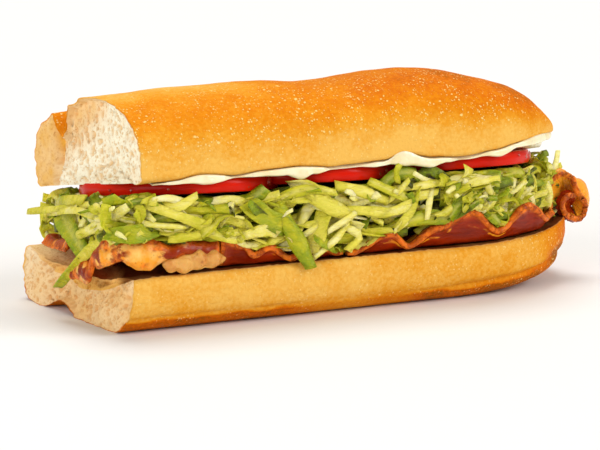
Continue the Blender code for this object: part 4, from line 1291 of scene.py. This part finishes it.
# named shreds that shape the front of the heap:
# way through x, y, height; width; green from one end to the other
namedShreds = {
    "outerLeftTip": (((-105, 26, 33), (-101, 5, 37), (-97, -16, 41.5)), 2.4, (0.45, 0.25)),
    "leftCap": (((-99, 14, 36.5), (-100, 0, 40.5), (-98, -10, 42)), 4.2, (0.55, 0.4)),
    "leftSecond": (((-101, 14.5, 34), (-101, -10, 38.5), (-98, -20, 37.5)), 2.6, (0.3, 0.2)),
    "darkLeftLeaf": (((-100, 6, 34.5), (-101.5, -5, 31), (-101, -16.5, 25)), 6.8, (0.6, 0.72)),
    "crossingPale": (((-94, -38, 43.5), (-99, -30, 37.5), (-101, -10.5, 30)), 3.8, (0.12, 0.25)),
    "hangingPale": (((-97, -38, 34), (-101, -21, 26.5), (-104.5, -0.5, 11)), 3.8, (0.2, 0.62)),
    "leftHook": (((-92.5, -37, 46), (-89.5, -39, 42), (-90.5, -38, 37.5)), 2.8, (0.3, 0.5)),
    "longYellow": (((-88, -38, 44), (-77, -40, 39.5), (-64, -40, 34)), 3.6, (0.25, 0.42)),
    "underTomato": (((-85, -37, 43.5), (-76.5, -39, 42.5), (-69, -38, 45.5)), 3.3, (0.35, 0.3)),
    "lowYellow": (((-80, -39, 32), (-72, -40, 32.5), (-63, -39, 34)), 3.4, (0.4, 0.3)),
    "greenFold": (((-51, -38, 41.5), (-44, -39.5, 36), (-36, -39, 32)), 7.6, (0.52, 0.66)),
    "hangingGreen": (((-40, -39, 40), (-34.5, -41, 29.5), (-28.5, -42, 17.8)), 5.6, (0.58, 0.72)),
    "archedTop": (((-39, -37, 42), (-28, -38.5, 44.5), (-17, -38, 42.5)), 3.4, (0.55, 0.4)),
    "paleDiagonal": (((-29, -38, 43.5), (-21, -39.5, 39), (-11, -39, 34)), 5.5, (0.3, 0.2)),
    "greyLeaf": (((-21, -37.5, 37), (-24.5, -39, 30), (-27.5, -39, 22.5)), 6.0, (0.38, 0.3)),
    "thinCurl": (((-13, -39, 32), (-19, -40.5, 26.5), (-27, -40, 21)), 2.2, (0.15, 0.2)),
    "paleHook": (((-15, -39, 31), (-9, -40, 27), (-14, -40, 22.5)), 2.6, (0.15, 0.25)),
    "upperPale": (((-17, -37, 45), (-8, -38.5, 42.5), (3, -38, 38)), 3.8, (0.35, 0.3)),
    "upperRight": (((-4, -37, 45.5), (3, -38.5, 42), (12, -38, 38)), 3.4, (0.45, 0.5)),
    "upright": (((9, -37, 51), (5.5, -39.5, 48.5), (7, -38, 44)), 2.0, (0.4, 0.5)),
    "middleYellow": (((-14, -38, 36), (-5.5, -39.5, 35.5), (4.5, -39, 33.5)), 3.6, (0.4, 0.3)),
    "middlePale": (((-4, -38, 34.5), (4, -39.5, 34.5), (13.5, -39, 37)), 3.6, (0.3, 0.2)),
    "oliveLeft": (((-69, -38, 42), (-60, -39, 38), (-50, -38, 33.5)), 4.0, (0.5, 0.4)),
    "brightLow": (((-70, -39, 36), (-62.5, -40, 31.5), (-54, -39, 29.5)), 3.3, (0.45, 0.3)),
    "creamTop": (((-66, -37, 42), (-58, -38.0, 43.3), (-50, -36, 41)), 3.0, (0.05, 0.3)),
    "paleLow": (((-53, -39, 30.5), (-45.5, -40, 32), (-40, -39, 30)), 3.8, (0.2, 0.15)),
    "paleStick": (((5, -36, 41.5), (14, -38.5, 42.5), (25, -38, 43.5)), 2.8, (0.25, 0.3)),
    "paleStickLow": (((4.5, -36, 38), (13.5, -38.5, 39), (23, -38, 40)), 3.2, (0.28, 0.35)),
    "greenLow": (((7, -38, 29.5), (17.5, -39.5, 31.5), (30, -37, 29.5)), 4.8, (0.6, 0.7)),
    "fineOne": (((29, -34, 45), (29.5, -35, 41), (28, -35, 36.5)), 2.6, (0.2, 0.1)),
    "fineTwo": (((37, -32, 45.5), (38, -34, 41.5), (39.5, -34, 37.5)), 2.6, (0.1, 0.2)),
    "fineThree": (((45, -30, 44.5), (46.5, -32, 41), (47, -32, 36.5)), 2.3, (0.15, 0.2)),
    "fineFour": (((54, -26, 44), (55.5, -29, 40), (57, -29, 34.5)), 2.3, (0.2, 0.12)),
    "fineFive": (((64, -22, 44.5), (67, -25, 39.5), (70, -25, 33.5)), 2.3, (0.3, 0.2)),
    "greenSlant": (((35, -35, 32), (45.5, -35, 37), (59, -31, 39.5)), 2.5, (0.6, 0.5)),
    "rightSlant": (((43, -36, 28.5), (58, -32, 32.5), (76, -25, 34)), 3.2, (0.5, 0.3)),
    "rightTip": (((77, -17, 34.5), (85.5, -13, 38), (91, -11, 41)), 2.6, (0.3, 0.4)),
    "rightPale": (((72.5, -19, 38.5), (78.5, -22, 34.5), (79, -21, 26.5)), 3.4, (0.15, 0.25)),
}


def wanderPath(rng, centre, direction, length, bend):
    centre, direction = np.array(centre, float), np.array(direction, float)
    direction /= np.linalg.norm(direction)
    sideways = np.cross(direction, (rng.gauss(0, 1), rng.gauss(0, 1), rng.gauss(0, 1)))
    sideways /= max(1e-6, np.linalg.norm(sideways))
    path = []
    for t in (-0.5, -0.2, 0.15, 0.5):
        path.append(centre + direction * length * t + sideways * bend * (4.0 * t * t - 0.4)
                    + np.array([rng.gauss(0, 0.5) for _ in range(3)]))
    return path


def keepInHeap(path, clearance):
    kept = []
    for x, y, z in path:
        x = min(max(x, -100.5 if y < 10.0 else -93.0), 92.0)
        limit = -frontLimit(x) + 1.2
        y = min(max(y, -limit), limit)
        low, high = floorAt(x, y) + clearance, ceilingAt(x, y) - clearance
        kept.append((x, y, 0.5 * (low + high) if low > high else min(max(z, low), high)))
    return kept


def shredKind(rng, fine):
    pick = rng.random()
    if pick < 0.28:                # pale rib, straight and thick
        tone = rng.uniform(-0.05, 0.16)
        return {"width": rng.uniform(2.0, 3.2), "green": (tone, tone + rng.uniform(0.0, 0.2)),
                "thick": rng.uniform(0.5, 0.9), "rib": rng.uniform(0.0, 0.5), "ruffle": 0.3, "cup": 0.1}
    if pick < 0.76:                # yellow-green blade
        tone = rng.uniform(0.22, 0.55)
        return {"width": rng.uniform(2.2, 3.2 if fine else 5.2),
                "green": (tone, tone + rng.uniform(-0.2, 0.25)), "thick": rng.uniform(0.3, 0.45),
                "ruffle": rng.uniform(0.8, 2.4), "cup": rng.uniform(-0.5, 0.6)}
    tone = rng.uniform(0.55, 0.85)   # green outer leaf
    return {"width": rng.uniform(2.6, 5.6), "green": (tone, tone + rng.uniform(-0.1, 0.12)), "thick": 0.45,
            "ruffle": rng.uniform(0.8, 1.8), "cup": rng.uniform(-0.4, 0.4)}


def scatterShreds(shreds, rng, amount, span, depth, facing, lengths, back=False, fine=False, paintedShade=0.0):
    for _ in range(amount):
        x = rng.uniform(*span)
        edge = -frontLimit(x) - rng.uniform(*depth)
        y = edge if back else -edge
        low, high = floorAt(x, y), ceilingAt(x, y)
        z = low + (high - low) * rng.uniform(0.04, 0.98)
        pitch = rng.gauss(0.0, 0.9 if fine else 0.45)
        yaw = rng.gauss(0.0, 0.35)
        direction = (math.cos(pitch) * math.cos(yaw), math.sin(yaw) * math.cos(pitch), math.sin(pitch))
        length = rng.uniform(*lengths)
        path = keepInHeap(wanderPath(rng, (x, y, z), direction, length, rng.uniform(0.0, 5.0)), 0.7)
        kind = shredKind(rng, fine)
        # deeper shreds are shifted towards the dark end of the ramp: painted shade
        kind["green"] = tuple(tone + paintedShade for tone in kind["green"])
        shreds.add(path, kind.pop("width"), facing, rng, roll=rng.gauss(0.0, 0.5),
                   twist=rng.gauss(0.0, 0.9), **kind)


def scatterEnd(shreds, rng, amount, side):
    for _ in range(amount):
        x = rng.uniform(-98.5, -86.0) if side < 0 else rng.uniform(72.0, 84.0)
        reach = -frontLimit(x) - 2.0
        y = rng.uniform(-reach, reach)
        if side < 0 and y > 8.0:
            x = rng.uniform(-91.0, -84.0)
        low, high = floorAt(x, y), ceilingAt(x, y)
        z = low + (high - low) * rng.uniform(0.05, 0.95)
        direction = (rng.gauss(0.0, 0.45), 1.0, rng.gauss(0.0, 0.5))
        path = wanderPath(rng, (x, y, z), direction, rng.uniform(9, 22), rng.uniform(0.0, 3.0))
        path = keepInHeap(path, 0.7)
        kind = shredKind(rng, side > 0)
        shreds.add(path, kind.pop("width"), (side, -0.3, 0.3), rng, roll=rng.gauss(0.0, 0.6),
                   twist=rng.gauss(0.0, 1.0), **kind)


def buildCore(material):           # the inside of the heap, near-black painted shade between the shreds, a little smaller than the heap
    rows, columns = 110, 64
    rings = []
    for x in np.linspace(lettuce["leftX"] + 5.0, lettuce["rightX"] - 4.0, rows):
        edge = max(2.0, -frontLimit(x) - 9.5)
        ring = []
        for step in range(columns):
            turn = 2.0 * math.pi * step / columns
            y = edge * math.copysign(abs(math.cos(turn)) ** 0.5, math.cos(turn))
            low, high = floorAt(x, y) + 1.2, ceilingAt(x, y) - 1.4
            middle, half = 0.5 * (low + high), max(0.4, 0.5 * (high - low))
            z = middle + half * math.copysign(abs(math.sin(turn)) ** 0.6, math.sin(turn))
            ring.append((x, y, z))
        rings.append(soften(np.array(ring), 2))
    grid = np.array(rings)
    grid += 0.9 * lumps(grid, 5.0, 40)[..., None] * np.array([0.3, 1.0, 0.4])
    faces = cappedFaces(rows, columns)
    # near the dark end of the colour ramp: painted shade
    shade = 0.95 + 0.10 * lumps(grid, 6.0, 41)
    layers = {"green": shade, "vein": shade * 0.0}
    piece = makePiece("lettuceCore", grid.reshape(-1, 3), faces, material, layers)
    standsFor(piece, "lettuce", "lettuce")
    return piece


def buildLettuce():
    material = makeLettuceMaterial(lettuce)
    buildCore(material)
    rng = random.Random(12)
    front = Shreds()
    for way, width, green in namedShreds.values():
        way = [np.array(p, float) for p in way]
        kind = {"thick": 1.0 if max(green) < 0.3 else 0.6, "ruffle": 0.5, "cup": rng.uniform(-0.15, 0.3)}
        front.add(way, width, (-0.35, -1.0, 0.25), rng, green=green, roll=rng.gauss(0.0, 0.15),
                  twist=rng.gauss(0.0, 0.4), **kind)
    scatterShreds(front, rng, 95, (-98, 52), (1.5, 4.5), (-0.3, -1.0, 0.4), (14, 32))
    # the deeper layers are drawn darker: painted shade
    scatterShreds(front, rng, 170, (-98, 60), (5.0, 10.0), (-0.3, -1.0, 0.4), (12, 28), paintedShade=0.16)
    scatterShreds(front, rng, 90, (28, 84), (1.0, 4.0), (0.0, -1.0, 0.4), (9, 20), fine=True)
    scatterShreds(front, rng, 60, (28, 84), (4.0, 8.0), (0.0, -1.0, 0.4), (9, 20), fine=True, paintedShade=0.16)
    standsFor(front.build("lettuceFront", material), "lettuce")
    ends = Shreds()
    scatterEnd(ends, rng, 150, -1)
    scatterEnd(ends, rng, 90, 1)
    standsFor(ends.build("lettuceEnds", material), "lettuce")
    back = Shreds()
    scatterShreds(back, rng, 170, (-98, 80), (0.5, 3.0), (0.0, 1.0, 0.4), (11, 26), back=True)
    scatterShreds(back, rng, 130, (-98, 80), (3.0, 7.0), (0.0, 1.0, 0.4), (12, 28), back=True)
    standsFor(back.build("lettuceBack", material), "lettuce")
    print("stage: lettuce,", len(front.points) + len(ends.points) + len(back.points), "shreds")


buildLettuce()


# ---- floor, light and camera

stage = {"floor": (0.82, 0.82, 0.82), "world": 0.42, "worldColour": (1.0, 0.92, 0.80, 1.0),
         # name: where the light comes from, strength, how soft
         "lights": {"topLight": ((0.1, 0.35, 1.0), 1.8, 35), "keyLight": ((0.75, -0.6, 0.55), 1.6, 30),
                    "fillLight": ((-0.9, -0.45, 0.4), 1.2, 45)}}


def makeFloor(look):
    material, tree, shader, place = startMaterial("paleFloor")
    clouds = mottle(tree, place, Scale=3.0, Low=0.0, High=1.0)
    second = tuple(0.99 * c for c in look["floor"])
    tree.links.new(mixColour(tree, clouds, look["floor"], second), shader.inputs["Base Color"])
    shader.inputs["Roughness"].default_value = 0.6
    shader.inputs["Specular IOR Level"].default_value = 0.2
    mesh = bpy.data.meshes.new("floor")
    mesh.from_pydata([(-9, -9, 0), (9, -9, 0), (9, 9, 0), (-9, 9, 0)], [], [(0, 1, 2, 3)])
    mesh.materials.append(material)
    floor = bpy.data.objects.new("floor", mesh)
    bpy.context.scene.collection.objects.link(floor)


def addSoftLight(name, come, power, softness):
    lamp = bpy.data.lights.new(name, "SUN")
    lamp.energy = power
    lamp.angle = math.radians(softness)
    light = bpy.data.objects.new(name, lamp)
    light.location = come
    light.rotation_euler = (-Vector(come)).to_track_quat("-Z", "Y").to_euler()
    bpy.context.scene.collection.objects.link(light)


def makeStudio(look):
    world = bpy.data.worlds.new("studio")
    world.use_nodes = True
    world.node_tree.nodes["Background"].inputs["Color"].default_value = look["worldColour"]
    world.node_tree.nodes["Background"].inputs["Strength"].default_value = look["world"]
    bpy.context.scene.world = world
    bpy.context.scene.view_settings.view_transform = "Standard"
    for name, (come, power, softness) in look["lights"].items():
        addSoftLight(name, come, power, softness)


def makeCamera():
    yaw, rise, distance = math.radians(27.0), math.radians(9.0), 0.873
    target = Vector((-0.007, 0.0, 0.04074))
    away = Vector((-math.sin(yaw) * math.cos(rise), -math.cos(yaw) * math.cos(rise), math.sin(rise)))
    lens = bpy.data.cameras.new("camera")
    lens.lens = 146.9
    lens.sensor_width = 36.0
    lens.shift_x = -0.02
    lens.shift_y = -0.075
    camera = bpy.data.objects.new("camera", lens)
    camera.location = target + away * distance
    camera.rotation_euler = (-away).to_track_quat("-Z", "Y").to_euler()
    bpy.context.scene.collection.objects.link(camera)
    bpy.context.scene.camera = camera


makeFloor(stage)
makeStudio(stage)
makeCamera()
print("stage: floor, light and camera")
